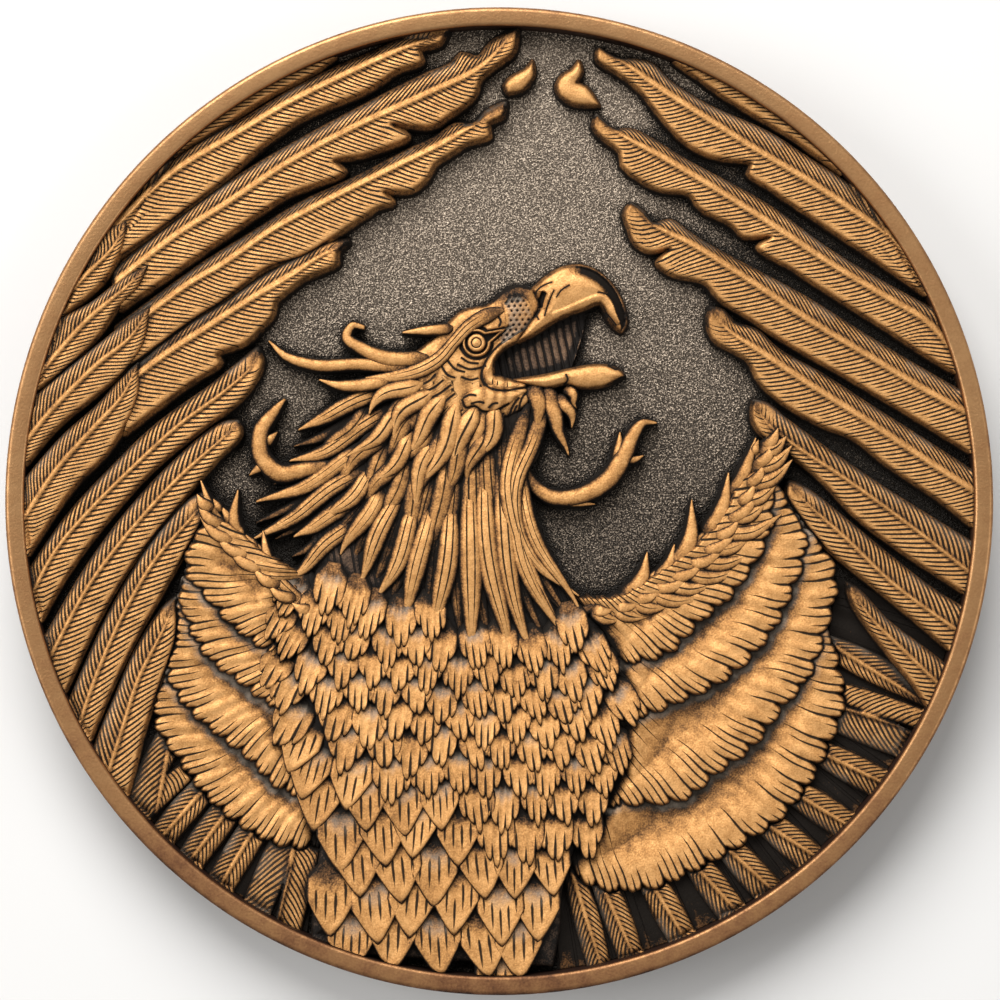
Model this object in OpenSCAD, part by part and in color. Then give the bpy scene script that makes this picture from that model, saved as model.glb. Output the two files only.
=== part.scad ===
// Two inch relief coin: a rising phoenix between two raised wings, struck on a round planchet.
// The coin lies flat with its picture side up. The origin is the centre of its lower face,
// +Z points up out of the picture and +Y points to the top of the picture.

/* [Coin] */
// Outside diameter of the coin
coin_d = 50.8; // [45:0.1:60]
// Thickness over both rims
coin_t = 4.0; // [3.6:0.1:5]
// Width of the raised rims
rim_w = 0.95; // [0.6:0.05:1.4]
// Chamfer on the outer corner of each rim
rim_chamfer = 0.25; // [0.1:0.05:0.35]

/* [Picture side] */
// Height of the sunken field above the lower face
field_z = 2.4; // [2:0.1:2.6]
// Height of the secondaries and the inside of the mouth above the field
low_relief = 0.5; // [0.3:0.05:0.6]
// Height of the long wing feathers, the torso and the neck above the field
mid_relief = 1.0; // [0.8:0.05:1.1]
// Height of the coverts, scales, hackles and beak above the field
high_relief = 1.4; // [1.2:0.05:1.5]

/* [Reverse side] */
// Depth of the reverse field below its rim
reverse_depth = 0.4; // [0.2:0.05:0.6]
// Diameter of the smooth centre boss on the reverse
boss_d = 22; // [16:1:26]
// Number of feather blades in the reverse ring
ring_blades = 36; // [24:1:48]

/* [Scales] */
// Width of a chest scale
chest_scale_w = 1.5; // [1.3:0.05:1.8]
// Width of a belly scale
belly_scale_w = 2.1; // [1.8:0.05:2.4]
// Gap between neighbouring scales
scale_gap = 0.12; // [0.08:0.01:0.2]

/* [Hidden] */
$fn = 360;
coin_r = coin_d / 2;
field_r = coin_r - rim_w;
low_z = field_z + low_relief;
mid_z = field_z + mid_relief;
high_z = field_z + high_relief;
// The coverts stop short of the highest relief, and the head and beak rise in steps of their own
covert_z = high_z - 0.2;
head_z = mid_z + 0.2;
beak_z = high_z + 0.1;
eye_relief = 0.15;
// A height under every relief part, for cuts that pass right through one
under_z = field_z - 1;
// One covert row stands this much above the next
row_step = (high_relief - low_relief) / 5;
// Spacing of the points along a curve, and along a row edge with fingers
step_mm = 0.4;
finger_step = 0.15;
finger_depth = 0.3;
// The thin end of every ribbon keeps this half width
point_half_w = 0.04;

copper = "#c98a52";
dark_copper = "#7a5134";
bronze = "#5d5247";

// ---------------------------------------------------------------- curves

// Spacing of two points along the curve's own measure, never zero
function knot(a, b) = max(sqrt(norm(b - a)), 0.02);
function between(a, b, ta, tb, t) = (a * (tb - t) + b * (t - ta)) / (tb - ta);

// A point of the rounded curve through p1 and p2, at u from 0 to 1
function bend(p0, p1, p2, p3, u) =
    let (
        t1 = knot(p0, p1),
        t2 = t1 + knot(p1, p2),
        t3 = t2 + knot(p2, p3),
        t = t1 + (t2 - t1) * u,
        a1 = between(p0, p1, 0, t1, t),
        a2 = between(p1, p2, t1, t2, t),
        a3 = between(p2, p3, t2, t3, t),
        b1 = between(a1, a2, 0, t2, t),
        b2 = between(a2, a3, t1, t3, t)
    )
    between(b1, b2, t1, t2, t);

// The rounded curve through every point of a run, without the run's last point
function curve(run, step = step_mm) =
    let (last = len(run) - 1)
    [for (i = [0 : last - 1])
        let (
            p1 = run[i],
            p2 = run[i + 1],
            p0 = i > 0 ? run[i - 1] : 2 * p1 - p2,
            p3 = i + 1 < last ? run[i + 2] : 2 * p2 - p1,
            steps = max(2, ceil(norm(p2 - p1) / step))
        )
        each [for (k = [0 : steps - 1]) bend(p0, p1, p2, p3, k / steps)]
    ];

function backwards(list) = [for (i = [len(list) - 1 : -1 : 0]) list[i]];
function whole_curve(run) = concat(curve(run), [run[len(run) - 1]]);

// A closed outline made of runs, each smooth in itself, that meet at corners
module outline(runs) {
    polygon([for (run = runs) each curve(run)]);
}

// A blade between two edges that both start at its tip
module blade(edges) {
    outline([
        edges[0],
        [edges[0][len(edges[0]) - 1], edges[1][len(edges[1]) - 1]],
        backwards(edges[1])
    ]);
}

function flat(p) = [p[0], p[1]];
function across(a, b) = let (d = flat(b) - flat(a)) [-d[1], d[0]] / norm(d);

// A ribbon along [x, y, half width] points
module strand(points) {
    line = whole_curve(points);
    last = len(line) - 1;
    side = [for (i = [0 : last])
        across(line[max(i - 1, 0)], line[min(i + 1, last)]) * max(line[i][2], point_half_w)
    ];
    polygon(concat(
        [for (i = [0 : last]) flat(line[i]) + side[i]],
        [for (i = [last : -1 : 0]) flat(line[i]) - side[i]]
    ));
}

// An edge with rounded fingers, each finger_deg wide as seen from a centre, that point away from it
function fingers(run, centre, finger_deg) =
    [for (p = curve(run, finger_step))
        let (
            arm = p - centre,
            turns = atan2(arm[1], arm[0]) / finger_deg,
            swell = pow(abs(sin(180 * turns)), 0.5)
        )
        p + arm / norm(arm) * finger_depth * swell
    ];

module plate(from_z, to_z) {
    translate([0, 0, from_z]) linear_extrude(to_z - from_z) children();
}

module inside_rim() {
    intersection() {
        circle(r = field_r);
        children();
    }
}

// ---------------------------------------------------------------- outlines chosen by hand

// Each long feather is two edges, both drawn from the tip to the base
LEFT_PRIMARIES = [
    [
        [[-8, 23.3], [-11, 22.4], [-15, 19.9], [-18.6, 16.6]],
        [[-8, 23.3], [-9.4, 22.2], [-12, 20.8], [-14.3, 19.3], [-16.6, 17.9], [-18.2, 16.5]]
    ],
    [
        [[-2.7, 24.3], [-4.6, 24], [-6.4, 23.2], [-8.3, 22.4], [-10.7, 21.2], [-13, 19.8], [-16, 18.2],
         [-18, 16.7], [-20.2, 14.4]],
        [[-2.7, 24.3], [-3.1, 23.6], [-4.2, 23.3], [-4.0, 22.7], [-5.3, 22.2], [-6.8, 21.2], [-10, 19.8],
         [-12, 18.5], [-14.3, 16.5], [-16, 15.2], [-18, 13.7], [-20.2, 12.2]]
    ],
    [
        [[0.9, 24.4], [-0.4, 23.7], [-1.1, 22.9], [-2, 23.1], [-2.4, 22.6], [-3.8, 22], [-7.7, 20],
         [-11, 18.2], [-14.3, 16.2], [-16.7, 14.5], [-20, 11.8]],
        [[0.9, 24.4], [0.7, 23.2], [-0.3, 22.4], [-1, 21.8], [-1.3, 20.9], [-2.7, 19.8], [-3.5, 19.3],
         [-5.6, 19.4], [-4.7, 18.8], [-6.2, 18.1], [-7.1, 17.8], [-8.6, 17.5], [-8, 17], [-11, 15.7],
         [-14.3, 13.5], [-16.7, 11.8], [-19.6, 9.8]]
    ],
    [
        [[0.3, 20.6], [-0.7, 20.1], [-1.3, 19.4], [-2.3, 19.4], [-3.3, 18.7], [-4.8, 18], [-7.3, 16.7],
         [-10.3, 15.3], [-12.7, 13.8], [-15.3, 12.2], [-19.8, 8.9]],
        [[0.3, 20.6], [0.1, 19.8], [-0.6, 19.5], [-0.5, 18.8], [-1.5, 18.5], [-2.7, 17.8], [-3.4, 17.3],
         [-3.7, 16.7], [-4.5, 16], [-6, 15.9], [-5.5, 15.4], [-6.3, 15.1], [-7.7, 14.2], [-10, 12.7],
         [-12, 12], [-14.3, 10.3], [-16, 9.2], [-19.4, 6.6]]
    ],
    [
        [[-7.8, 13.4], [-9, 13.3], [-10.3, 12.7], [-12, 11.7], [-14.3, 10.2], [-16.7, 8.7], [-19.2, 6.6]],
        [[-7.8, 13.4], [-8.4, 12.8], [-8.4, 12.2], [-9, 11.9], [-10, 11.5], [-10.8, 10.9], [-11.6, 10.2],
         [-11.7, 9.6], [-12.5, 8.7], [-13.1, 8.1], [-14.6, 7.5], [-14.4, 7.1], [-16, 6], [-19.4, 3.4]]
    ],
    [
        [[-12.5, 7.9], [-13.7, 6.9], [-14.8, 6], [-17.7, 3.9], [-19.9, 1.8], [-22.3, -0.8], [-24.8, -4.4]],
        [[-12.5, 7.9], [-12.2, 7.1], [-13.1, 5.4], [-15.4, 3.6], [-17.7, 1.7], [-19.9, -0.7],
         [-22.3, -3.9], [-24.2, -7.4]]
    ],
    [
        [[-13.5, 4.1], [-14.3, 4], [-16.8, 2], [-19.3, -0.7], [-21.4, -3.6], [-22.6, -5.6], [-24.2, -8.4]],
        [[-13.5, 4.1], [-13.3, 3.4], [-14.5, 2.1], [-16.5, -0.2], [-18.8, -3.1], [-20.5, -5.9],
         [-22.5, -10.2]]
    ],
    [
        [[-15.1, 0.4], [-15.9, 0.1], [-17.9, -2.1], [-19.9, -5.4], [-21.5, -8.8], [-22.6, -11.4]],
        [[-15.1, 0.4], [-14.8, -0.2], [-15.4, -1.3], [-16.5, -3.2], [-17.4, -4.8], [-18.8, -7.3],
         [-20, -9.8], [-21.4, -13.2]]
    ],
    [
        [[-16.7, -5], [-17.4, -5.6], [-18.8, -7.8], [-19.8, -10.1], [-20.6, -12], [-21.2, -13.8]],
        [[-16.7, -5], [-16.7, -7], [-17.7, -10], [-18.3, -11.9], [-18.9, -14.3], [-19.3, -15.8]]
    ]
];

LEFT_COVERTS = [
    [
        [[-19.2, 14.4], [-20.2, 14], [-21.4, 12.4], [-22.6, 10.9]],
        [[-19.2, 14.4], [-19.4, 13.1], [-20.3, 11.4], [-21.3, 10.4], [-23, 9.2]]
    ],
    [
        [[-18.1, 12.1], [-19.3, 11.5], [-21, 10.2], [-22.9, 9.1], [-24, 7.4]],
        [[-18.1, 12.1], [-18.6, 11], [-19.7, 9.9], [-20.7, 8.4], [-22.7, 6.5], [-24.4, 5.3]]
    ],
    [
        [[-18, 10], [-18.9, 9.4], [-20.3, 8.3], [-22.1, 6.9], [-24.3, 5]],
        [[-18, 10], [-18.3, 8.2], [-19.2, 6.8], [-21, 5.2], [-22.7, 3.8], [-24.6, 1.5]]
    ],
    [
        [[-18.6, 7.1], [-19.4, 6.4], [-20.6, 5], [-22.6, 3.2], [-24.6, 0.9]],
        [[-18.6, 7.1], [-18.6, 5.5], [-19.2, 4], [-20.3, 2.3], [-21.8, 0.8], [-24.5, -3.2]]
    ]
];

RIGHT_PRIMARIES = [
    [
        [[8.4, 23.4], [11, 22.6], [15, 20.1], [19, 16.6]],
        [[8.4, 23.4], [9, 22.7], [10, 22], [11.7, 20.8], [15, 18.8], [16.7, 17.6], [18.8, 16]]
    ],
    [
        [[5.1, 23.5], [6, 22.9], [7, 22.8], [7.9, 22.6], [8.8, 21.7], [10.7, 20.5], [14, 19], [16, 17.7],
         [18.3, 16.2], [21.6, 13.1]],
        [[5.1, 23.5], [5, 22.8], [6.2, 22], [7.2, 21.2], [8, 20.2], [9, 19], [10.3, 18], [11.6, 17.6],
         [13, 17.4], [12.8, 16.9], [13.8, 16.2], [16, 14.7], [19, 12.7], [21, 11.3], [23.2, 9.8]]
    ],
    [
        [[5, 20], [5.9, 19.2], [6.8, 19.2], [7.7, 18.8], [9.3, 17.8], [11.7, 16.5], [14, 15.2], [17, 13],
         [20, 11.2], [22.6, 9.8]],
        [[5, 20], [4.8, 19.3], [5.3, 18.7], [6.2, 18], [6.3, 17.3], [7, 16.7], [8.3, 16], [9.8, 15.8],
         [10.3, 15.1], [12, 14.2], [12.6, 13.6], [14, 13.6], [13.3, 13.1], [15, 12], [17, 10.7],
         [20, 8.8], [22.3, 7.3], [24.2, 6.2]]
    ],
    [
        [[6.8, 15.4], [7.5, 14.9], [7.9, 14.3], [8.8, 14.5], [10, 13.7], [11.7, 12.7], [14, 11.5],
         [16, 10.4], [19, 8.5], [22, 6.7], [24.3, 5.4]],
        [[6.8, 15.4], [6.4, 14.9], [6.6, 14.1], [7, 13.2], [7.8, 12.8], [8.8, 13], [8.1, 12.3],
         [8.3, 12], [9, 11.6], [10.6, 11.2], [11.3, 10.4], [13, 9.3], [15, 8], [18, 6.3], [21, 4.5],
         [24.4, 2.4]]
    ],
    [
        [[10.9, 10], [11.6, 9.8], [12.1, 9.2], [13.3, 8.8], [14.4, 7.8], [16.7, 6.5], [19, 5], [22, 3.1],
         [24.6, 1.4]],
        [[10.9, 10], [10.7, 9.2], [11, 8.3], [11.8, 7.8], [12.8, 7.2], [13.4, 6.1], [14.6, 5],
         [16.7, 3.8], [18.2, 3.2], [20, 1.8], [22.7, 0], [24.7, -1.6]]
    ],
    [
        [[13.1, 5.2], [13.8, 5], [14.8, 4.2], [16.7, 2.8], [19, 1.2], [21.5, -0.4], [24.6, -2.3]],
        [[13.1, 5.2], [13, 4.3], [13.4, 3.5], [14.7, 2.5], [15.8, 1.7], [16.9, 0.7], [18.3, -0.8],
         [20.8, -2.7], [24.3, -5]]
    ],
    [
        [[14.9, 1], [15.5, 0.8], [16.4, 0.2], [18, -1.1], [20.3, -3], [22.5, -4.7], [24, -5.6]],
        [[14.9, 1], [14.8, 0.3], [15.7, -1.1], [17, -2.6], [19.1, -4.3], [21.4, -6.2], [23.3, -7.8]]
    ],
    [
        [[18, -4.3], [18.6, -4.7], [20, -6.2], [21.7, -7.5], [23.4, -8.8]],
        [[18, -4.3], [18.1, -5.1], [18.8, -6.3], [20, -7.9], [21.3, -9.5], [22.4, -11.2]]
    ]
];

// Loose flames beside the wing tips
LEFT_FLAME = [
    [[1.7, 22.8], [1.8, 22], [1.2, 21.2], [0.4, 21]],
    [[0.4, 21], [0.2, 21.5], [0.7, 22], [1.3, 22.3], [1.7, 22.8]]
];
RIGHT_FLAME = [
    [[4.1, 22.8], [4.3, 22.2], [4, 21.6]],
    [[4, 21.6], [4.5, 21.4], [4.9, 20.9], [5.2, 20.4]],
    [[5.2, 20.4], [4.4, 20.4], [3.7, 20.5], [3.1, 20.9], [2.9, 21.5], [3.2, 22], [3.7, 22.3], [4.1, 22.8]]
];

// Lower edges of the covert rows, from the outside of the wing to the torso
LEFT_ROW_EDGES = [
    [[-16, -3], [-15.9, -3.9], [-15, -4.9], [-13.5, -6.5], [-12.5, -7.2], [-11, -8.1], [-9, -8.3]],
    [[-16.3, -5], [-15.6, -7], [-14.6, -8.3], [-13.3, -9.2], [-12, -10.2], [-10.2, -11], [-8.6, -11]],
    [[-17, -8], [-16.9, -9], [-16.2, -10.3], [-14.6, -11.8], [-13, -13], [-11.2, -14.7], [-8.4, -15.3]],
    [[-17.8, -10], [-17.5, -11.6], [-16.3, -13.4], [-15, -15.1], [-13.2, -16.6], [-11.2, -17.6],
     [-8.8, -17.7]]
];
RIGHT_ROW_EDGES = [
    [[13.9, -0.2], [13.9, -1], [13.5, -2.2], [12.8, -3.4], [11.7, -4.9], [10, -6.3], [8.6, -7.7],
     [6.8, -8.2], [4.6, -8.2]],
    [[15.7, -1.6], [15.5, -3], [14.9, -4.6], [14, -6.5], [12.8, -8], [11.2, -9.3], [9, -10.3],
     [7, -11], [4.6, -11]],
    [[17, -3.3], [17.2, -4.5], [16.7, -6.5], [15.8, -9], [14.3, -10.8], [12.8, -12.7], [11, -14],
     [9.3, -15.3], [7, -15.5], [4.4, -15.7]],
    [[17.2, -8], [17.6, -10.3], [16.8, -12.6], [15.8, -14.5], [14.3, -16.3], [12.3, -17.6],
     [10, -18.9], [7.8, -19.8], [5, -19.8], [3.2, -18.6]]
];
// The centre that the fingers of each row spread from, and the width of one finger in degrees
LEFT_FANS = [[[-7, -4], 8], [[-6.5, -5.5], 7], [[-7, -6.8], 6.5], [[-7, -10.3], 6.5]];
RIGHT_FANS = [[[2, -2], 7], [[1, -3], 5.5], [[0.5, -5.5], 5], [[1.7, -6.2], 4.5]];
// The shoulder line that closes every row at the top
LEFT_SHOULDER = [[-9, -4], [-10.6, -3.6], [-12.5, -2.4], [-14.4, -1], [-16, -1.4]];
RIGHT_SHOULDER = [[3.8, -5], [6, -5], [8.4, -3.6], [11, -1.5], [12.9, 1.4], [14.1, 1.6]];

// Secondaries below the rows, as ribbons from the row to the rim
LEFT_SECONDARIES = [
    [[-16.9, -12, 0.7], [-17.9, -13.9, 0.75], [-19.4, -16, 0.5]],
    [[-15.9, -13.8, 0.5], [-17.2, -14.9, 0.6], [-19, -16.6, 0.55]],
    [[-14.8, -14.4, 0.7], [-16.3, -16, 0.75], [-18.2, -18.4, 0.6]],
    [[-13.4, -15.2, 0.75], [-14.9, -17.1, 0.8], [-16.7, -19.7, 0.65]],
    [[-12.2, -16.2, 0.75], [-13.5, -18.3, 0.8], [-15, -20.9, 0.7]],
    [[-10.8, -16.9, 0.7], [-11.9, -19.5, 0.8], [-12.9, -22, 0.7]],
    [[-9.5, -17, 0.6], [-10.4, -20.1, 0.75], [-11.1, -22.7, 0.65]]
];
RIGHT_SECONDARIES = [
    [[16.2, -7.2, 0.5], [18.9, -8.5, 0.75], [22.3, -10.2, 0.6]],
    [[16.8, -9.7, 0.5], [19.7, -10.6, 0.6], [22.6, -11.6, 0.5]],
    [[16.4, -10.9, 0.6], [19.2, -11.9, 0.8], [22.4, -13.2, 0.65]],
    [[16.2, -12.8, 0.6], [18.3, -13.9, 0.8], [20.9, -15.3, 0.7]],
    [[14.9, -14.8, 0.65], [16.7, -16, 0.8], [19.3, -17.7, 0.7]],
    [[13.3, -16.2, 0.65], [14.9, -17.5, 0.8], [17.2, -19.5, 0.7]],
    [[11.5, -17.5, 0.65], [12.9, -19.1, 0.8], [14.9, -21.3, 0.7]],
    [[9.8, -18.2, 0.65], [11.1, -20, 0.8], [12.9, -22.5, 0.7]],
    [[7.5, -19, 0.65], [8.6, -21, 0.8], [9.9, -23.4, 0.7]],
    [[5.2, -19.3, 0.6], [6.1, -21.6, 0.75], [7, -24, 0.65]],
    [[3.5, -18.6, 0.4], [4.4, -21.2, 0.7], [5.2, -24.2, 0.6]]
];

LEFT_ARM = [
    [[-9.4, -5.8, 0.3], [-10.7, -4.9, 0.6], [-12.4, -3.2, 0.5], [-14, -1.4, 0.4], [-15.2, 0.1, 0.04]],
    [[-13.6, -1.8, 0.35], [-13.8, -0.9, 0.3], [-13.6, -0.2, 0.04]],
    [[-14, -1.4, 0.3], [-14.8, -1.8, 0.25], [-15.3, -2, 0.04]],
    [[-12.7, -3, 0.4], [-12.4, -2.8, 0.3], [-12, -2.2, 0.04]],
    [[-12.6, -3.1, 0.3], [-13.2, -3.5, 0.25], [-13.8, -3.6, 0.04]],
    [[-11.4, -4.2, 0.4], [-12, -4.4, 0.3], [-12.7, -4.5, 0.04]]
];
RIGHT_ARM_STEM = [
    [4.3, -5.4, 0.5], [6.6, -5, 1], [9, -3.6, 1], [11.2, -1.6, 0.9], [12.5, 0.4, 0.7], [13.5, 3, 0.04]
];
RIGHT_ARM_BARBS = [
    [[6.4, -4.6, 0.4], [7.2, -3.8, 0.3], [7.5, -2.9, 0.04]],
    [[8.3, -3.7, 0.4], [8.8, -2.8, 0.3], [9.1, -2, 0.04]],
    [[10.1, -2, 0.4], [10.2, -1, 0.3], [10, 0, 0.04]],
    [[12.3, 0, 0.4], [13, 0.5, 0.25], [13.4, 1, 0.04]],
    [[11.9, -0.7, 0.5], [12.7, -0.3, 0.3], [13.2, 0.1, 0.04]],
    [[11, -1.8, 0.5], [11.9, -1.6, 0.3], [12.5, -1.2, 0.04]],
    [[9.9, -2.9, 0.5], [10.9, -2.8, 0.3], [11.5, -2.4, 0.04]],
    [[8.8, -3.8, 0.5], [9.8, -4, 0.3], [10.5, -3.8, 0.04]],
    [[7.6, -4.6, 0.5], [8.5, -4.9, 0.3], [9.4, -4.8, 0.04]]
];

// The body from the shoulders to the rim
TORSO = [
    [[-9.6, -3.4], [-10.8, -5], [-11.2, -7], [-10.7, -9], [-9.8, -12], [-9.1, -14.5], [-9.1, -17],
     [-9.5, -20], [-9.7, -23.2]],
    [[-9.7, -23.2], [2.7, -24]],
    [[2.7, -24], [3.1, -21.7], [3.1, -20.5], [3.5, -18.7], [4.4, -16.8], [5.3, -15.3], [5.8, -14],
     [5.9, -12.5], [6.2, -11], [6.1, -9.3], [5.6, -7.3], [4, -5.2]],
    [[4, -5.2], [-9.6, -3.4]]
];
// The neck from the head to the shoulders
NECK = [
    [[-5.9, 5.6], [-7, 4], [-8.2, 1.5], [-9.4, -1], [-9.9, -3.4]],
    [[-9.9, -3.4], [-7, -6.5], [-2, -8], [2, -7.6], [4, -5.2]],
    [[4, -5.2], [2.7, -3.7], [1.5, -2.3], [0.8, -0.9], [1, 0.9], [2, 2.5], [1.9, 4.1], [1.4, 5.9]],
    [[1.4, 5.9], [-5.9, 5.6]]
];
// The crown, cheek and jaw
HEAD = [
    [[-6.8, 6.2], [-5, 7.2], [-3.6, 8.2], [-2.8, 9], [-1.9, 9.8], [-0.6, 10.1], [0.2, 10.8],
     [0.9, 11.1], [1.7, 10.9]],
    [[1.7, 10.9], [2.1, 10], [1.6, 9.2], [0.9, 8.2]],
    [[0.9, 8.2], [0.2, 7.8], [-0.3, 7.2], [-0.3, 6.5]],
    [[-0.3, 6.5], [0.6, 6.2], [1.3, 6]],
    [[1.3, 6], [1.6, 5.2], [0.6, 4.4], [-1.4, 3.8], [-3.6, 4], [-5.6, 5], [-6.8, 6.2]]
];
UPPER_BEAK = [
    [[1.7, 10.9], [2.45, 11.55], [3.25, 12], [4.2, 12.1], [5.1, 11.75], [5.9, 10.95], [6.4, 9.9],
     [6.5, 9.1], [6.25, 8.7]],
    [[6.25, 8.7], [5.66, 9.3], [5.2, 10.2], [4.5, 9.95], [3.5, 9.6], [2.7, 9.2], [1.7, 8.55],
     [0.9, 8.2]],
    [[0.9, 8.2], [1.6, 9.2], [2.1, 10], [1.7, 10.9]]
];
MOUTH = [
    [[-0.3, 6.5], [-0.3, 7.2], [0.2, 7.8], [0.9, 8.2]],
    [[0.9, 8.2], [1.7, 8.55], [2.7, 9.2], [3.5, 9.6], [4.5, 9.95]],
    [[4.5, 9.95], [4.3, 8.7], [3.9, 7.4], [3.7, 6.8]],
    [[3.7, 6.8], [2.45, 6.5], [0.6, 6.2], [-0.3, 6.5]]
];
LOWER_BEAK = [
    [[0.6, 6.2], [2.45, 6.5], [3.7, 6.8], [5.2, 7], [6.1, 6.8], [6.5, 6.4]],
    [[6.5, 6.4], [5.4, 5.9], [4.2, 5.8], [3.4, 6], [2.4, 5.8], [1.3, 6]],
    [[1.3, 6], [0.6, 6.2]]
];
EYE = [-1.1, 8.1];
EYE_RADIUS = 0.75;
BROW = [
    [0.1, 10, 0.05], [-1, 9.8, 0.25], [-2, 9.3, 0.35], [-3, 8.4, 0.35], [-4.2, 7.4, 0.3], [-6, 6.7, 0.04]
];

CREST_PLUMES = [
    [[-2.6, 8.8, 0.3], [-3.8, 8.75, 0.25], [-5, 8.65, 0.04]],
    [[-4, 7.3, 0.4], [-5.8, 7.3, 0.45], [-7.1, 7.8, 0.4], [-7.9, 8.4, 0.3], [-7.6, 9, 0.2],
     [-7, 8.9, 0.04]],
    [[-4.6, 6.8, 0.4], [-7.3, 7, 0.35], [-9.4, 6.95, 0.35], [-11, 7.4, 0.25], [-11.9, 8.2, 0.04]],
    [[-5.6, 6.2, 0.4], [-6.9, 5.9, 0.4], [-8.2, 5.9, 0.3], [-9.3, 6.2, 0.04]]
];

// Hackles that stream away to the left of the neck
NAPE_HACKLES = [
    [[-5, 6, 0.5], [-7.2, 5.2, 0.5], [-9, 4.2, 0.4], [-10.4, 3.7, 0.04]],
    [[-5, 5, 0.5], [-7.2, 3.8, 0.5], [-9.2, 2.4, 0.4], [-10.8, 1.9, 0.04]],
    [[-5.6, 3.4, 0.5], [-7.9, 2.2, 0.5], [-10.2, 0.6, 0.4], [-12.5, -0.2, 0.04]],
    [[-6.4, 1.8, 0.5], [-8.8, 0.6, 0.5], [-10.8, -1, 0.4], [-12.6, -2.1, 0.04]],
    [[-6.8, 0.4, 0.5], [-8.6, -0.7, 0.5], [-9.6, -1.5, 0.4], [-10.6, -1.9, 0.04]],
    [[-7.2, -1, 0.5], [-8.8, -2.2, 0.5], [-10, -3.4, 0.35], [-10.8, -3.9, 0.04]]
];
// Hackles that hang from the cheek down the side of the neck
CHEEK_HACKLES = [
    [[-4.6, 5.8, 0.4], [-5.8, 5.2, 0.35], [-6.6, 4.5, 0.04]],
    [[-3.9, 5.3, 0.4], [-5, 4.2, 0.4], [-5.6, 3.4, 0.04]],
    [[-3.1, 5, 0.4], [-3.9, 3.6, 0.4], [-5, 2.7, 0.04]],
    [[-5.9, 4.2, 0.35], [-6.6, 3, 0.35], [-7.5, 2.2, 0.04]],
    [[-5, 2.9, 0.35], [-5.7, 1.6, 0.35], [-6.3, 0.8, 0.04]],
    [[-2.3, 4.6, 0.45], [-3, 2.6, 0.45], [-4.1, 0.4, 0.04]],
    [[-1.4, 4.5, 0.45], [-1.9, 3, 0.4], [-2.7, 1.3, 0.04]],
    [[-0.3, 4.8, 0.45], [-0.5, 3.4, 0.4], [-1.1, 2, 0.04]],
    [[-3.6, 2.2, 0.35], [-4.2, 1, 0.35], [-4.9, -0.4, 0.04]]
];
// Long hackles that run down the front of the neck onto the chest
CHEST_HACKLES = [
    [[-7, 1, 0.35], [-7.8, 0, 0.4], [-8.7, -1, 0.04]],
    [[-6.4, -0.2, 0.4], [-7.1, -1.4, 0.45], [-7.9, -2.5, 0.04]],
    [[-5.5, -0.6, 0.4], [-6.5, -2.4, 0.5], [-7.6, -3.8, 0.04]],
    [[-4.6, -1.2, 0.4], [-5.4, -3, 0.5], [-6.4, -4.6, 0.04]],
    [[-3.7, -1.2, 0.4], [-4.4, -3.8, 0.55], [-5.4, -6, 0.04]],
    [[-2.6, -1, 0.4], [-2.8, -4.2, 0.6], [-3.3, -6.9, 0.04]],
    [[-1.5, 0.6, 0.35], [-1.5, -4, 0.6], [-0.9, -8.5, 0.04]],
    [[-0.7, 1.2, 0.35], [-0.3, -3.6, 0.6], [0.6, -8.8, 0.04]],
    [[0, 1.6, 0.3], [0.5, -3, 0.55], [2.1, -8.4, 0.04]],
    [[0.4, -0.6, 0.3], [1.6, -4, 0.5], [3.3, -7.2, 0.04]],
    [[1, -1.4, 0.25], [2.4, -3.9, 0.4], [4.1, -5.6, 0.04]]
];

THROAT_FLAMES = [
    [[1.6, 6, 0.5], [2, 4.9, 0.45], [2.2, 3.4, 0.04]],
    [[2.4, 6, 0.45], [2.9, 4.4, 0.45], [3, 3.4, 0.3], [3.4, 2.3, 0.04]],
    [[3, 5.4, 0.35], [3.5, 4.6, 0.35], [3.8, 3.8, 0.04]],
    [[3.4, 6, 0.3], [3.9, 5.5, 0.25], [4, 4.9, 0.04]]
];
LEFT_CURL = [
    [[-8, 2, 0.2], [-9.9, 1.6, 0.45], [-11.4, 1.4, 0.55], [-12.4, 2.3, 0.5], [-12.4, 3.6, 0.45],
     [-11.7, 4.5, 0.3], [-11.1, 5.2, 0.04]],
    [[-12.2, 2, 0.4], [-12.5, 1.6, 0.25], [-12.9, 1.3, 0.04]],
    [[-12.2, 2.8, 0.35], [-11.8, 3.1, 0.25], [-11.5, 3.4, 0.04]]
];
RIGHT_CURL = [
    [[1.2, 2.2, 0.2], [1.6, 1, 0.35], [2.6, 0.2, 0.45], [4, 0.2, 0.5], [5.5, 1, 0.55], [6.4, 2.3, 0.5],
     [6.9, 3.4, 0.4], [7.4, 4, 0.25], [8.1, 4, 0.04]],
    [[3, 0, 0.3], [4, -0.2, 0.2], [4.9, -0.2, 0.04]],
    [[6, 1.8, 0.4], [6.1, 2.7, 0.3], [6.2, 3.5, 0.04]],
    [[6.3, 2, 0.3], [6.9, 2, 0.25], [7.4, 2.3, 0.04]]
];

// A wing is its row edges, its fans and its shoulder line
LEFT_WING = [LEFT_ROW_EDGES, LEFT_FANS, LEFT_SHOULDER];
RIGHT_WING = [RIGHT_ROW_EDGES, RIGHT_FANS, RIGHT_SHOULDER];

// ---------------------------------------------------------------- scales

// Body edges as straight pieces, enough to say whether a scale lies on the body
function span(y, ys, xs) = lookup(y, [for (i = [0 : len(ys) - 1]) [ys[i], xs[i]]]);
EDGE_Y = [-24, -20, -17, -14.5, -12, -9, -7, -5, -3];
LEFT_EDGE_X = [-9.7, -9.5, -9.1, -9.1, -9.8, -10.7, -11.2, -10.8, -9.6];
RIGHT_EDGE_X = [2.7, 3.1, 4.3, 5.6, 6, 6.1, 5.5, 4, 3.4];

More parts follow.
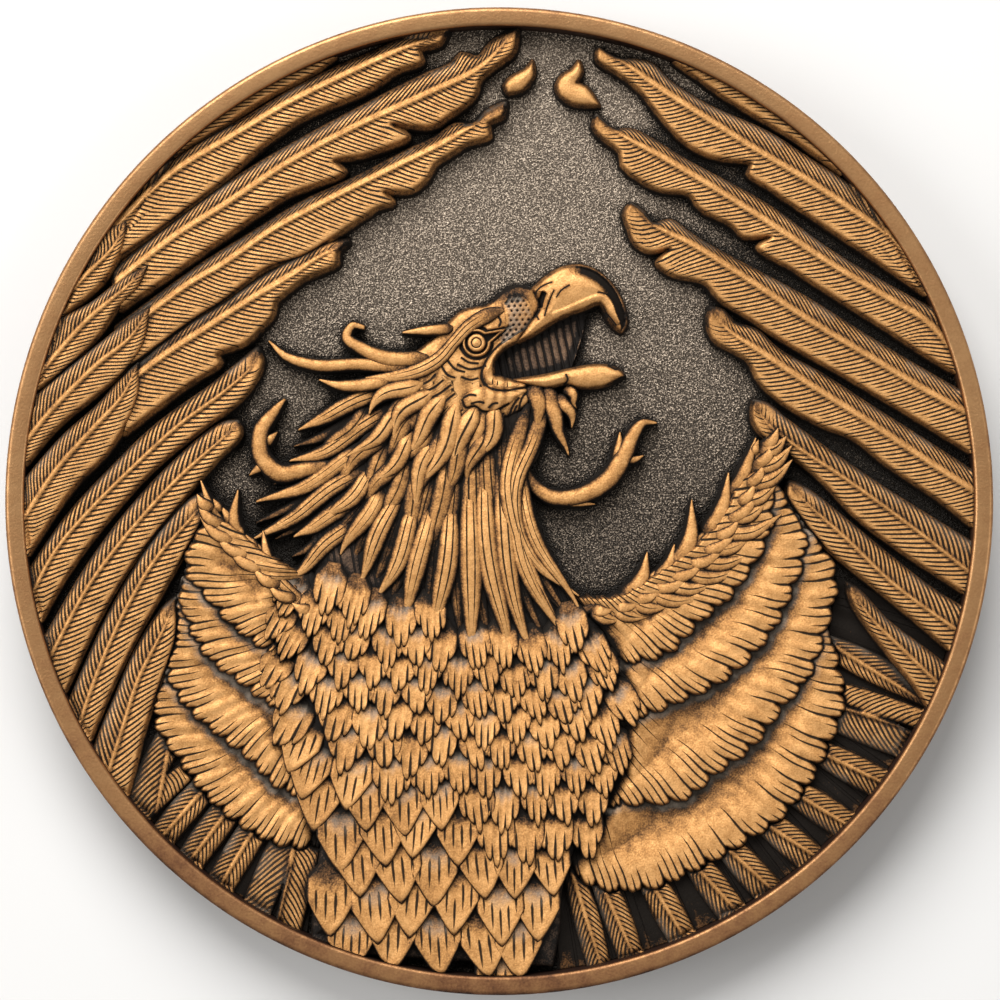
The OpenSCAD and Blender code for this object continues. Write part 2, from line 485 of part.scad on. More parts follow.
function scale_points(w, l) =
    let (g = scale_gap / 2)
    [[0, -l + 2 * g], [w * 0.3 - g, -l * 0.72], [w / 2 - g, -l * 0.5], [w * 0.2 - g, -l * 0.22],
     [0, -2 * g], [g - w * 0.2, -l * 0.22], [g - w / 2, -l * 0.5], [g - w * 0.3, -l * 0.72]];

// The line under the hackle tips where the scales begin
SCALE_TOP = [
    [-11, -4.4], [-8, -4.8], [-6, -6.2], [-4, -7], [-2, -8.2], [0, -9], [2, -8.6], [4, -6.4], [6, -5.4]
];

// Where the rows of chest and belly scales start and stop
CHEST_SCALES_Y = [-4.4, -15.6];
BELLY_SCALES_Y = [-16.2, -23.6];
// The middle of the body, and how many columns of scales it can need on each side
body_x = -2.4;
half_columns = 8;
// Length of a scale over its width
scale_stretch = 1.72;
// The scales stop this far from the rim
scale_rim_gap = 0.2;

// Rows of pointed scales between two heights, every second row shifted by half a scale
module scale_field(top_y, bottom_y, w) {
    l = w * scale_stretch;
    rows = floor((top_y - bottom_y) / (l / 2));
    for (row = [0 : rows - 1]) {
        y = top_y - row * l / 2;
        middle = y - l / 2;
        from_x = span(middle, EDGE_Y, LEFT_EDGE_X) + w * 0.5;
        to_x = span(middle, EDGE_Y, RIGHT_EDGE_X) - w * 0.5;
        for (col = [-half_columns : half_columns]) {
            x = body_x + (col + (row % 2) / 2) * w;
            covered = y > lookup(x, SCALE_TOP) + w * 0.3;
            inside = x > from_x && x < to_x && norm([x, y - l]) < field_r - scale_rim_gap;
            if (inside && !covered)
                translate([x, y]) polygon(scale_points(w, l));
        }
    }
}

// ---------------------------------------------------------------- shared outlines

module torso_outline() inside_rim() outline(TORSO);
module neck_outline() outline(NECK);
module head_outline() outline(HEAD);

module strands(list) {
    for (points = list) strand(points);
}

module row_outline(wing, row) {
    edges = wing[0];
    fan = wing[1][row];
    last = edges[row][len(edges[row]) - 1];
    polygon(concat(fingers(edges[row], fan[0], fan[1]), [last], curve(wing[2])));
}

// ---------------------------------------------------------------- the planchet and its rims

module planchet() {
    color(bronze) translate([0, 0, reverse_depth]) cylinder(r = coin_r, h = field_z - reverse_depth);
}

module rim_ring(low, high, chamfer_at_top) {
    inner_r = field_r;
    bevel = rim_chamfer;
    low_r = chamfer_at_top ? coin_r : coin_r - bevel;
    high_r = chamfer_at_top ? coin_r - bevel : coin_r;
    bend_z = chamfer_at_top ? high - bevel : low + bevel;
    rotate_extrude()
        polygon([[inner_r, low], [low_r, low], [coin_r, bend_z], [high_r, high], [inner_r, high]]);
}

module obverse_rim() color(copper) rim_ring(field_z, coin_t, true);
module reverse_rim() color(copper) rim_ring(0, reverse_depth, false);
module reverse_boss() {
    color(copper) translate([0, 0, reverse_depth / 4]) cylinder(d = boss_d, h = reverse_depth * 3 / 4);
}
// A ring of feather blades that reach from the boss almost to the rim
module reverse_feather_ring() {
    boss_gap = 1.2;
    rim_gap = 1;
    tip_length = 1.5;
    inner = boss_d / 2 + boss_gap;
    outer = field_r - rim_gap;
    middle = (inner + outer) / 2;
    blade_line = [[0, inner, 0.5], [0, middle, 0.9], [0, outer - tip_length, 1.2], [0, outer, 0.1]];
    color(copper) plate(reverse_depth / 3, reverse_depth)
        for (i = [0 : ring_blades - 1])
            rotate(i * 360 / ring_blades) strand(blade_line);
}

// ---------------------------------------------------------------- wings

module left_primary(i) color(copper) plate(field_z, mid_z) inside_rim() blade(LEFT_PRIMARIES[i - 1]);
module right_primary(i) color(copper) plate(field_z, mid_z) inside_rim() blade(RIGHT_PRIMARIES[i - 1]);

module left_covert(i) {
    color(copper) difference() {
        plate(field_z, covert_z) inside_rim() blade(LEFT_COVERTS[i - 1]);
        plate(field_z, mid_z) for (edges = LEFT_PRIMARIES) blade(edges);
        if (i < 4) plate(field_z, high_z) blade(LEFT_COVERTS[i]);
    }
}

module left_flame_drop() color(copper) plate(field_z, mid_z) outline(LEFT_FLAME);
module right_flame_drop() color(copper) plate(field_z, mid_z) outline(RIGHT_FLAME);

module feathers_over_rows() {
    for (feather = [5 : 8]) blade(LEFT_PRIMARIES[feather]);
    for (feather = [5 : 7]) blade(RIGHT_PRIMARIES[feather]);
}

module covert_row(wing, row) {
    top = low_z + (4 - row) * row_step;
    bottom = row == 3 ? field_z : top - row_step;
    color(copper) plate(bottom, top) difference() {
        union() {
            for (above = [0 : row]) row_outline(wing, above);
        }
        torso_outline();
        neck_outline();
        feathers_over_rows();
    }
}
module left_covert_row(row) covert_row(LEFT_WING, row - 1);
module right_covert_row(row) covert_row(RIGHT_WING, row - 1);

module secondaries(list, wing) {
    color(dark_copper) plate(field_z, low_z) difference() {
        inside_rim() strands(list);
        for (row = [0 : 3]) row_outline(wing, row);
        torso_outline();
        feathers_over_rows();
    }
}
module left_secondaries() secondaries(LEFT_SECONDARIES, LEFT_WING);
module right_secondaries() secondaries(RIGHT_SECONDARIES, RIGHT_WING);

module wing_arm(list, wing) {
    color(copper) difference() {
        plate(field_z, high_z) difference() {
            strands(list);
            torso_outline();
            neck_outline();
        }
        for (row = [0 : 3])
            plate(under_z, low_z + (4 - row) * row_step) row_outline(wing, row);
    }
}
module left_wing_arm() wing_arm(LEFT_ARM, LEFT_WING);
module right_wing_arm() wing_arm(concat([RIGHT_ARM_STEM], RIGHT_ARM_BARBS), RIGHT_WING);

// ---------------------------------------------------------------- body and head

module torso() {
    color(dark_copper) plate(field_z, mid_z) difference() {
        torso_outline();
        neck_outline();
    }
}

module neck() {
    color(dark_copper) plate(field_z, mid_z) difference() {
        neck_outline();
        head_outline();
    }
}

// Strands that lie on the neck and torso where they cross them and reach the field elsewhere
module on_body() {
    difference() {
        plate(field_z, high_z) children();
        plate(under_z, mid_z) {
            neck_outline();
            torso_outline();
        }
        plate(under_z, beak_z) head_outline();
    }
}

module chest_scales() {
    color(copper) plate(mid_z, high_z) difference() {
        scale_field(CHEST_SCALES_Y[0], CHEST_SCALES_Y[1], chest_scale_w);
        strands(CHEST_HACKLES);
    }
}
module belly_scales() {
    color(copper) plate(mid_z, high_z) scale_field(BELLY_SCALES_Y[0], BELLY_SCALES_Y[1], belly_scale_w);
}

module nape_hackles() color(copper) on_body() strands(NAPE_HACKLES);
module cheek_hackles() color(copper) on_body() strands(CHEEK_HACKLES);
module chest_hackles() color(copper) on_body() strands(CHEST_HACKLES);
module right_curl_flame() color(copper) on_body() strands(RIGHT_CURL);

module throat_flames() {
    color(copper) on_body() difference() {
        strands(THROAT_FLAMES);
        outline(LOWER_BEAK);
    }
}

module left_curl_flame() {
    color(copper) on_body() difference() {
        strands(LEFT_CURL);
        strands(NAPE_HACKLES);
    }
}

module head() color(copper) plate(field_z, head_z) head_outline();
module upper_beak() color(copper) plate(field_z, beak_z) outline(UPPER_BEAK);
module lower_beak() color(copper) plate(field_z, high_z) outline(LOWER_BEAK);
module mouth() color(bronze) plate(field_z, low_z) outline(MOUTH);
module eye() color(copper) translate([EYE[0], EYE[1], head_z]) cylinder(r = EYE_RADIUS, h = eye_relief);

module brow() {
    color(copper) plate(head_z, high_z) intersection() {
        strand(BROW);
        head_outline();
    }
}

module crest_plume(i) {
    color(copper) difference() {
        plate(field_z, high_z) difference() {
            strand(CREST_PLUMES[i - 1]);
            head_outline();
            if (i > 1) strand(CREST_PLUMES[i - 2]);
            strands(NAPE_HACKLES);
            strands(CHEEK_HACKLES);
        }
        plate(under_z, mid_z) neck_outline();
    }
}

// ---------------------------------------------------------------- nodes

planchet();
obverse_rim();
reverse_rim();
reverse_boss();
reverse_feather_ring();
left_primary(1);  // left_primary_1
left_primary(2);  // left_primary_2
left_primary(3);  // left_primary_3
left_primary(4);  // left_primary_4
left_primary(5);  // left_primary_5
left_primary(6);  // left_primary_6
left_primary(7);  // left_primary_7
left_primary(8);  // left_primary_8
left_primary(9);  // left_primary_9
left_covert(1);  // left_covert_1
left_covert(2);  // left_covert_2
left_covert(3);  // left_covert_3
left_covert(4);  // left_covert_4
right_primary(1);  // right_primary_1
right_primary(2);  // right_primary_2
right_primary(3);  // right_primary_3
right_primary(4);  // right_primary_4
right_primary(5);  // right_primary_5
right_primary(6);  // right_primary_6
right_primary(7);  // right_primary_7
right_primary(8);  // right_primary_8
left_flame_drop();
right_flame_drop();
left_covert_row(1);  // left_covert_row_1
left_covert_row(2);  // left_covert_row_2
left_covert_row(3);  // left_covert_row_3
left_covert_row(4);  // left_covert_row_4
right_covert_row(1);  // right_covert_row_1
right_covert_row(2);  // right_covert_row_2
right_covert_row(3);  // right_covert_row_3
right_covert_row(4);  // right_covert_row_4
left_secondaries();
right_secondaries();
left_wing_arm();
right_wing_arm();
torso();
chest_scales();
belly_scales();
neck();
nape_hackles();
cheek_hackles();
chest_hackles();
throat_flames();
left_curl_flame();
right_curl_flame();
head();
upper_beak();
lower_beak();
mouth();
brow();
eye();
crest_plume(1);  // crest_plume_1
crest_plume(2);  // crest_plume_2
crest_plume(3);  // crest_plume_3
crest_plume(4);  // crest_plume_4
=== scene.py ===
import math

import bpy
import numpy as np
from mathutils import Matrix, Vector


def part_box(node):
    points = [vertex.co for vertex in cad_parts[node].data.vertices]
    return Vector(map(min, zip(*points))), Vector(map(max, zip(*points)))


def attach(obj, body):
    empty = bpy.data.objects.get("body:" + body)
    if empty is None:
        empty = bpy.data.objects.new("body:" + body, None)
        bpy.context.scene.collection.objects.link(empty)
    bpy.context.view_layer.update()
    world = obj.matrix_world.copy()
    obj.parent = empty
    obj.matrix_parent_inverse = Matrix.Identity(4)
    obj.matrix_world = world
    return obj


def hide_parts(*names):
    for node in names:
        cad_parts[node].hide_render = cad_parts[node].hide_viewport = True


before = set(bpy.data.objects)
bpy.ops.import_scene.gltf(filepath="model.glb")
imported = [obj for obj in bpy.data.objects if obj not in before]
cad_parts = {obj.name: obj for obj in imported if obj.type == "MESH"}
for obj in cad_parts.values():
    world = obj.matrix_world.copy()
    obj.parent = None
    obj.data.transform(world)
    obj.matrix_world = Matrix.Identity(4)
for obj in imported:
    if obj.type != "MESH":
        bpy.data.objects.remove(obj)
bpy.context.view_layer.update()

# The looks of a struck relief coin. Every length below is in millimetres, in the frame of the
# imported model, and becomes metres only when a mesh is written.

MM = 0.001
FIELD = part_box("planchet")[1].z / MM
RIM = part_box("obverse_rim")[1].z / MM
COIN_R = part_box("planchet")[1].x / MM
RIM_INNER = min(math.hypot(v.co.x, v.co.y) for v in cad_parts["obverse_rim"].data.vertices) / MM
CELL = 0.065
RASTER = 0.1
SINK = 0.03  # how far the walls of a sheet run into the planchet


# ------------------------------------------------------------------ curves and outlines

def rounded(points, step):
    """The centripetal curve through rows of numbers, sampled about every step."""
    p = np.asarray(points, float)
    p = np.vstack([2 * p[0] - p[1], p, 2 * p[-1] - p[-2]])
    out = []
    for i in range(1, len(p) - 2):
        q = p[i - 1:i + 3]
        gaps = np.maximum(np.linalg.norm(np.diff(q[:, :2], axis=0), axis=1), 4e-4)
        t = np.concatenate([[0], np.cumsum(gaps ** 0.5)])
        n = max(2, int(math.ceil(np.linalg.norm(q[2, :2] - q[1, :2]) / step)))
        u = (t[1] + (t[2] - t[1]) * np.arange(n) / n)[:, None]
        a = [
            q[k] * (t[k + 1] - u) / (t[k + 1] - t[k]) + q[k + 1] * (u - t[k]) / (t[k + 1] - t[k])
            for k in range(3)
        ]
        b = [
            a[k] * (t[k + 2] - u) / (t[k + 2] - t[k]) + a[k + 1] * (u - t[k]) / (t[k + 2] - t[k])
            for k in range(2)
        ]
        out.append(b[0] * (t[2] - u) / (t[2] - t[1]) + b[1] * (u - t[1]) / (t[2] - t[1]))
    out.append(p[-2:-1])
    return np.vstack(out)


def top_loops(node):
    """The outlines of a CAD node's highest flat face."""
    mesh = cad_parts[node].data
    co = np.zeros(len(mesh.vertices) * 3, np.float32)
    mesh.vertices.foreach_get("co", co)
    co = co.reshape(-1, 3).astype(float) / MM
    mesh.calc_loop_triangles()
    tri = np.zeros(len(mesh.loop_triangles) * 3, np.int32)
    mesh.loop_triangles.foreach_get("vertices", tri)
    tri = tri.reshape(-1, 3)
    tri = tri[(co[tri][:, :, 2] > co[:, 2].max() - 0.01).all(1)]
    flat, weld = np.unique(np.round(co[:, :2], 4), axis=0, return_inverse=True)
    tri = weld.reshape(-1)[tri]
    a, b, c = (flat[tri[:, k]] for k in range(3))
    area = (b[:, 0] - a[:, 0]) * (c[:, 1] - a[:, 1]) - (b[:, 1] - a[:, 1]) * (c[:, 0] - a[:, 0])
    tri[area < 0] = tri[area < 0][:, ::-1]
    edges = open_edges(tri, len(flat))
    following = dict(edges.tolist())
    loops = []
    while following:
        start, at = following.popitem()
        loop = [start]
        while at != start and at in following:
            loop.append(at)
            at = following.pop(at)
        if len(loop) > 2:
            loops.append(flat[loop])
    return loops


def open_edges(faces, count):
    """The directed edges that only one face has. A triangle among quads repeats its last corner."""
    following = np.roll(faces, -1, axis=1)
    edges = np.stack([faces.ravel(), following.ravel()], 1)
    edges = edges[edges[:, 0] != edges[:, 1]]
    code = edges[:, 0].astype(np.int64) * count + edges[:, 1]
    back = edges[:, 1].astype(np.int64) * count + edges[:, 0]
    return edges[~np.isin(code, back)]


def nearest(loops, points):
    """Distance to the outlines, nearest outline point and whether each point lies inside."""
    a = np.vstack(loops).astype(np.float32)
    b = np.vstack([np.roll(loop, -1, axis=0) for loop in loops]).astype(np.float32)
    ab = b - a
    length2 = np.maximum((ab ** 2).sum(1), 1e-9)
    points = points.astype(np.float32)
    distance = np.empty(len(points), np.float32)
    foot = np.empty((len(points), 2), np.float32)
    inside = np.empty(len(points), bool)
    for at in range(0, len(points), 4000):
        p = points[at:at + 4000]
        ap = p[:, None] - a[None]
        t = np.clip((ap * ab).sum(2) / length2, 0, 1)
        gap = ap - t[..., None] * ab
        d2 = (gap ** 2).sum(2)
        k = d2.argmin(1)
        row = np.arange(len(p))
        distance[at:at + 4000] = np.sqrt(d2[row, k])
        foot[at:at + 4000] = a[k] + t[row, k][:, None] * ab[k]
        straddle = (a[:, 1] > p[:, 1:2]) != (b[:, 1] > p[:, 1:2])
        run = np.where(np.abs(ab[:, 1]) < 1e-9, 1e-9, ab[:, 1])
        cross_x = a[:, 0] + (p[:, 1:2] - a[:, 1]) * ab[:, 0] / run
        inside[at:at + 4000] = (straddle & (p[:, :1] < cross_x)).sum(1) % 2 == 1
    return distance, foot, inside


def along(line, x, y):
    """Distance run along an open line, signed distance across it, and its plain distance."""
    line = np.asarray(line, np.float32)
    a, ab = line[:-1], np.diff(line, axis=0)
    length = np.maximum(np.hypot(ab[:, 0], ab[:, 1]), 1e-6)
    start = np.concatenate([[0], np.cumsum(length)])[:-1]
    s, t, d = (np.empty(len(x), np.float32) for _ in range(3))
    for at in range(0, len(x), 8000):
        part = slice(at, at + 8000)
        px, py = x[part, None] - a[:, 0], y[part, None] - a[:, 1]
        u = (px * ab[:, 0] + py * ab[:, 1]) / length ** 2
        low = np.where(np.arange(len(a)) == 0, -1e3, 0)
        high = np.where(np.arange(len(a)) == len(a) - 1, 1e3, 1)
        u = np.clip(u, low, high)
        gx, gy = px - u * ab[:, 0], py - u * ab[:, 1]
        d2 = gx ** 2 + gy ** 2
        k = d2.argmin(1)
        row = np.arange(len(k))
        s[part] = start[k] + u[row, k] * length[k]
        side = ab[k, 0] * gy[row, k] - ab[k, 1] * gx[row, k]
        d[part] = np.sqrt(d2[row, k])
        t[part] = np.sign(side) * d[part]
    return s, t, d


def ease(low, high, v):
    """0 below low, 1 above high and a smooth step between. low may be the larger."""
    u = np.clip((v - low) / (high - low), 0, 1)
    return u * u * (3 - 2 * u)


def dome(d, reach):
    """0 at the outline, rising as a quarter circle to 1 at reach."""
    u = 1 - np.clip(d / reach, 0, 1)
    return np.sqrt(np.maximum(1 - u * u, 0))


def scatter(cell, seed):
    """A repeatable random number from 0 to 1 for each whole number."""
    v = np.sin(np.asarray(cell, float) * 12.9898 + seed * 78.233) * 43758.5453
    return v - np.floor(v)


# ------------------------------------------------------------------ sculpted sheets

class Sheet:
    """One closed skin: a top surface with marks for its material, and walls down to the floor."""

    def __init__(self, co, faces, marks, floor, flare):
        edges = open_edges(faces, len(co))
        rim = np.unique(edges)
        out = np.zeros((len(co), 2))
        step = co[edges[:, 1], :2] - co[edges[:, 0], :2]
        normal = np.stack([step[:, 1], -step[:, 0]], 1)
        np.add.at(out, edges[:, 0], normal)
        np.add.at(out, edges[:, 1], normal)
        out = out[rim] / np.maximum(np.linalg.norm(out[rim], axis=1, keepdims=True), 1e-9)
        at = np.full(len(co), -1)
        at[rim] = np.arange(len(rim))
        parts, walls, shade = [co], [], [marks]
        upper = np.arange(len(co))[rim]
        count = len(co)
        bottom = np.minimum(floor, co[rim, 2] - 0.02)
        # The wall rings are darkened more the lower they lie and lose the highlight mark: patina and
        # painted shade on the walls.
        for drop, spread, dark in ((0.14, 0.38, 0.50), (0.5, 0.75, 0.94), (1.0, 1.0, 1.0)):
            ring = co[rim].copy()
            ring[:, :2] += out * flare * spread
            ring[:, 2] += (bottom - ring[:, 2]) * drop
            lower = count + np.arange(len(rim))
            a, b = at[edges[:, 0]], at[edges[:, 1]]
            walls.append(np.stack([upper[a], lower[a], lower[b], upper[b]], 1))
            m = marks[rim].copy()
            m[:, 1] = 0
            m[:, 2] = np.maximum(m[:, 2], dark)
            m[:, 3] = 0
            parts.append(ring)
            shade.append(m)
            upper = lower
            count += len(rim)
        self.co = np.vstack(parts)
        self.faces = np.vstack([faces] + walls)
        self.marks = np.vstack(shade)
        lo, hi = self.co[:, :2].min(0), self.co[:, :2].max(0)
        self.uv = (self.co[:, :2] - lo) / np.maximum(hi - lo, 1e-6)
        self.tops = len(co)


def marks_of(count, gu=0.0, gw=0.0, patina=0.0, painted_glint=0.0):
    """Groove coordinate, groove half width, patina with painted shade, and painted highlight for each
    point.
    """
    return np.stack([np.broadcast_to(np.asarray(v, float), count) for v in (gu, gw, patina, painted_glint)], 1)


def plate(loops, sculpt, floor=None, flare=0.16, cell=None, least=4):
    """A sheet over outlines. sculpt(x, y, d) gives its height above the field and its marks."""
    cell = cell or CELL
    floor = FIELD - SINK if floor is None else floor
    loops = [loop for loop in loops if len(loop) >= least]
    lo = np.vstack(loops).min(0) - 2 * cell
    hi = np.vstack(loops).max(0) + 2 * cell
    nx, ny = (np.ceil((hi - lo) / cell).astype(int) + 1)
    gx, gy = np.meshgrid(lo[0] + cell * np.arange(nx), lo[1] + cell * np.arange(ny))
    points = np.stack([gx.ravel(), gy.ravel()], 1)
    d, foot, inside = nearest(loops, points)
    good = (inside | (d < 0.5 * cell)).reshape(ny, nx)
    index = np.arange(nx * ny).reshape(ny, nx)
    corners = np.stack([index[:-1, :-1], index[:-1, 1:], index[1:, 1:], index[1:, :-1]], -1).reshape(-1, 4)
    ok = good.ravel()[corners]
    quads = corners[ok.all(1)]
    three = corners[ok.sum(1) == 3]
    missing = (~good.ravel()[three]).argmax(1)
    row = np.arange(len(three))
    tris = np.stack([three[row, (missing + k) % 4] for k in (1, 2, 3, 3)], 1)
    faces = np.vstack([quads, tris])
    used, faces = np.unique(faces, return_inverse=True)
    faces = faces.reshape(-1, 4)
    points, foot, d, inside = points[used], foot[used], d[used], inside[used]
    rim = np.unique(open_edges(faces, len(used)))
    points[rim] = foot[rim]
    d[rim] = 0
    d = np.where(inside | (d == 0), d, 0)
    at_rim = np.hypot(foot[:, 0], foot[:, 1]) > RIM_INNER - 0.06
    free = [loop[np.hypot(loop[:, 0], loop[:, 1]) < RIM_INNER - 0.02] for loop in loops]
    free = [loop for loop in free if len(loop) > 2]
    if at_rim.any() and free:
        d[at_rim] = line_gap(free, points[at_rim])
    height, marks = sculpt(points[:, 0], points[:, 1], d)
    co = np.column_stack([points, FIELD + height])
    return Sheet(co, faces, marks, floor, flare)


def line_gap(loops, points):
    """Distance to the nearest corner of the outlines, for points beside the rim."""
    corners = np.vstack([rounded(loop, 0.15) for loop in loops])
    corners = corners[np.hypot(corners[:, 0], corners[:, 1]) < RIM_INNER - 0.02]
    gap = np.empty(len(points))
    for at in range(0, len(points), 2000):
        part = points[at:at + 2000, None] - corners[None]
        gap[at:at + 2000] = np.sqrt((part ** 2).sum(2).min(1))
    return gap


def strand(points, low, high, crown=0.55, lines=0, flare=0.08, patina=0.0, across=11, root=0.5, slim=0.14,
           wave=0.0):
    """A tapering ribbon along [x, y, half width] points that rises from low to high and dips at its tip."""
    step = 0.07
    line = rounded(points, step)
    n = len(line)
    tangent = np.gradient(line[:, :2], axis=0)
    tangent /= np.maximum(np.linalg.norm(tangent, axis=1, keepdims=True), 1e-9)
    side = np.stack([-tangent[:, 1], tangent[:, 0]], 1)
    phase = points[0][0] * 3.7 + points[0][1] * 2.3
    f = np.linspace(0, 1, n)
    line[:, :2] += side * (wave * f * np.sin(5.2 * f + phase))[:, None]
    w = np.maximum(line[:, 2] * ease(-0.12 if root else 0.0, slim, f), 0.02)
    j = np.sin(np.linspace(-0.5, 0.5, across) * math.pi)
    xy = line[:, None, :2] + side[:, None] * (w[:, None] * j[None])[..., None]
    spine = low + (high - low) * ease(0, 0.45, f) - (high - low) * 0.35 * ease(0.7, 1.0, f)
    z = spine[:, None] + crown * w[:, None] * np.sqrt(np.maximum(1 - j[None] ** 2, 0)) ** 0.8
    index = np.arange(n * across).reshape(n, across)
    faces = np.stack([index[:-1, :-1], index[1:, :-1], index[1:, 1:], index[:-1, 1:]], -1).reshape(-1, 4)
    co = np.column_stack([xy.reshape(-1, 2), FIELD + z.ravel()])
    gu = np.broadcast_to(j[None] * (lines + 1) / 2 + (lines + 1) / 2, (n, across)).ravel()
    taper = (ease(0.08, 0.3, f) * ease(0.92, 0.6, f))[:, None] * np.ones(across)
    gw = taper.ravel() * (0.04 + 0.07 * scatter(phase, 2)) * (lines > 0) * (np.abs(np.tile(j, n)) < 0.8)
    # Darker towards the sides and the root: patina and painted shade where the ribbon meets what lies under
    # it.
    edge = (np.abs(j)[None] ** 4 * 0.95 * ease(-0.1 if root else 0.05, 0.3, f)[:, None]).ravel()
    rooted = (root * ease(0.3, 0.0, f))[:, None] * np.ones(across)
    marks = marks_of(len(co), gu, gw, 0.10 + patina + edge + rooted.ravel())
    return Sheet(co, faces, marks, FIELD - SINK, flare)


SHEETS = {}
MATERIAL_OF = {}


def piece(node, sheets, material):
    """Notes the sheets that will stand for a CAD node."""
    SHEETS[node] = sheets
    MATERIAL_OF[node] = material


def write_piece(node, sheets, material):
    """Joins sheets into one mesh object that replaces the CAD node."""
    co = np.vstack([s.co for s in sheets])
    marks = np.vstack([s.marks for s in sheets])
    start = np.cumsum([0] + [len(s.co) for s in sheets])[:-1]
    faces = np.vstack([s.faces + k for s, k in zip(sheets, start)])
    side = int(math.ceil(math.sqrt(len(sheets))))
    uv = np.vstack([
        (s.uv * 0.94 + 0.03 + [i % side, i // side]) / side for i, s in enumerate(sheets)
    ])
    triangle = faces[:, 2] == faces[:, 3]
    size = np.where(triangle, 3, 4)
    keep = np.ones(faces.shape, bool)
    keep[triangle, 3] = False
    loops = faces[keep]
    mesh = bpy.data.meshes.new(node + "_relief")
    mesh.vertices.add(len(co))
    mesh.vertices.foreach_set("co", (co * MM).astype(np.float32).ravel())
    mesh.loops.add(len(loops))
    mesh.loops.foreach_set("vertex_index", loops.astype(np.int32))
    mesh.polygons.add(len(faces))
    mesh.polygons.foreach_set("loop_start", (np.cumsum(size) - size).astype(np.int32))
    mesh.polygons.foreach_set("use_smooth", np.ones(len(faces), bool))
    mesh.update(calc_edges=True)
    for k, name in enumerate(("groove_at", "groove_width", "patina", "painted_glint")):
        layer = mesh.attributes.new(name, "FLOAT", "POINT")
        layer.data.foreach_set("value", marks[:, k].astype(np.float32))
    layer = mesh.uv_layers.new(name="OFBake")
    layer.data.foreach_set("uv", uv[loops].astype(np.float32).ravel())
    mesh.validate()
    obj = bpy.data.objects.new(node + "_relief", mesh)
    bpy.context.scene.collection.objects.link(obj)
    mesh.materials.append(MATERIALS[material])
    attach(obj, "root")
    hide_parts(node)


# ------------------------------------------------------------------ materials

MATERIALS = {}


class Nodes:
    """Short calls for building a node material."""

    def __init__(self, name):
        self.mat = bpy.data.materials.new(name)
        self.mat.use_nodes = True
        self.tree = self.mat.node_tree
        self.shader = next(n for n in self.tree.nodes if n.type == "BSDF_PRINCIPLED")
        MATERIALS[name] = self.mat
        self.coords = self.new("ShaderNodeTexCoord").outputs["Object"]

    def new(self, kind, **settings):
        node = self.tree.nodes.new(kind)
        for key, value in settings.items():
            setattr(node, key, value)
        return node

    def put(self, value, socket):
        if isinstance(value, bpy.types.NodeSocket):
            self.tree.links.new(value, socket)
        else:
            socket.default_value = value

    def mark(self, name):
        return self.new("ShaderNodeAttribute", attribute_name=name).outputs["Fac"]

    def math(self, operation, *values, clamp=False):
        node = self.new("ShaderNodeMath", operation=operation, use_clamp=clamp)
        for value, socket in zip(values, node.inputs):
            self.put(value, socket)
        return node.outputs[0]

    def sway(self, value, amount):
        """The value's distance from its middle, 0.5, times amount."""
        return self.math("MULTIPLY", self.math("SUBTRACT", value, 0.5), amount)

    def noise(self, size_mm, detail=2.0):
        node = self.new("ShaderNodeTexNoise")
        self.put(self.coords, node.inputs["Vector"])
        node.inputs["Scale"].default_value = 1 / (size_mm * MM)
        node.inputs["Detail"].default_value = detail
        node.inputs["Roughness"].default_value = 0.5
        return node.outputs["Fac"]

    def span(self, value, low, high, to_low=0.0, to_high=1.0):
        node = self.new("ShaderNodeMapRange", interpolation_type="SMOOTHSTEP")
        for v, socket in zip((value, low, high, to_low, to_high), node.inputs):
            self.put(v, socket)
        return node.outputs[0]

    def ramp(self, value, stops):
        node = self.new("ShaderNodeValToRGB")
        band = node.color_ramp
        while len(band.elements) < len(stops):
            band.elements.new(0.5)
        for element, (at, colour) in zip(band.elements, stops):
            element.position = at
            element.color = (*colour, 1)
        self.put(value, node.inputs[0])
        return node.outputs[0]

    def blend(self, amount, a, b):
        node = self.new("ShaderNodeMix", data_type="RGBA")
        self.put(amount, node.inputs["Factor"])
        colours = [s for s in node.inputs if s.type == "RGBA"]
        for value, socket in zip((a, b), colours):
            self.put(value if isinstance(value, bpy.types.NodeSocket) else (*value, 1), socket)
        return next(s for s in node.outputs if s.type == "RGBA")

    def bump(self, height, depth_mm, strength=1.0):
        node = self.new("ShaderNodeBump")
        node.inputs["Strength"].default_value = strength
        node.inputs["Distance"].default_value = depth_mm * MM
        self.put(height, node.inputs["Height"])
        return node.outputs[0]


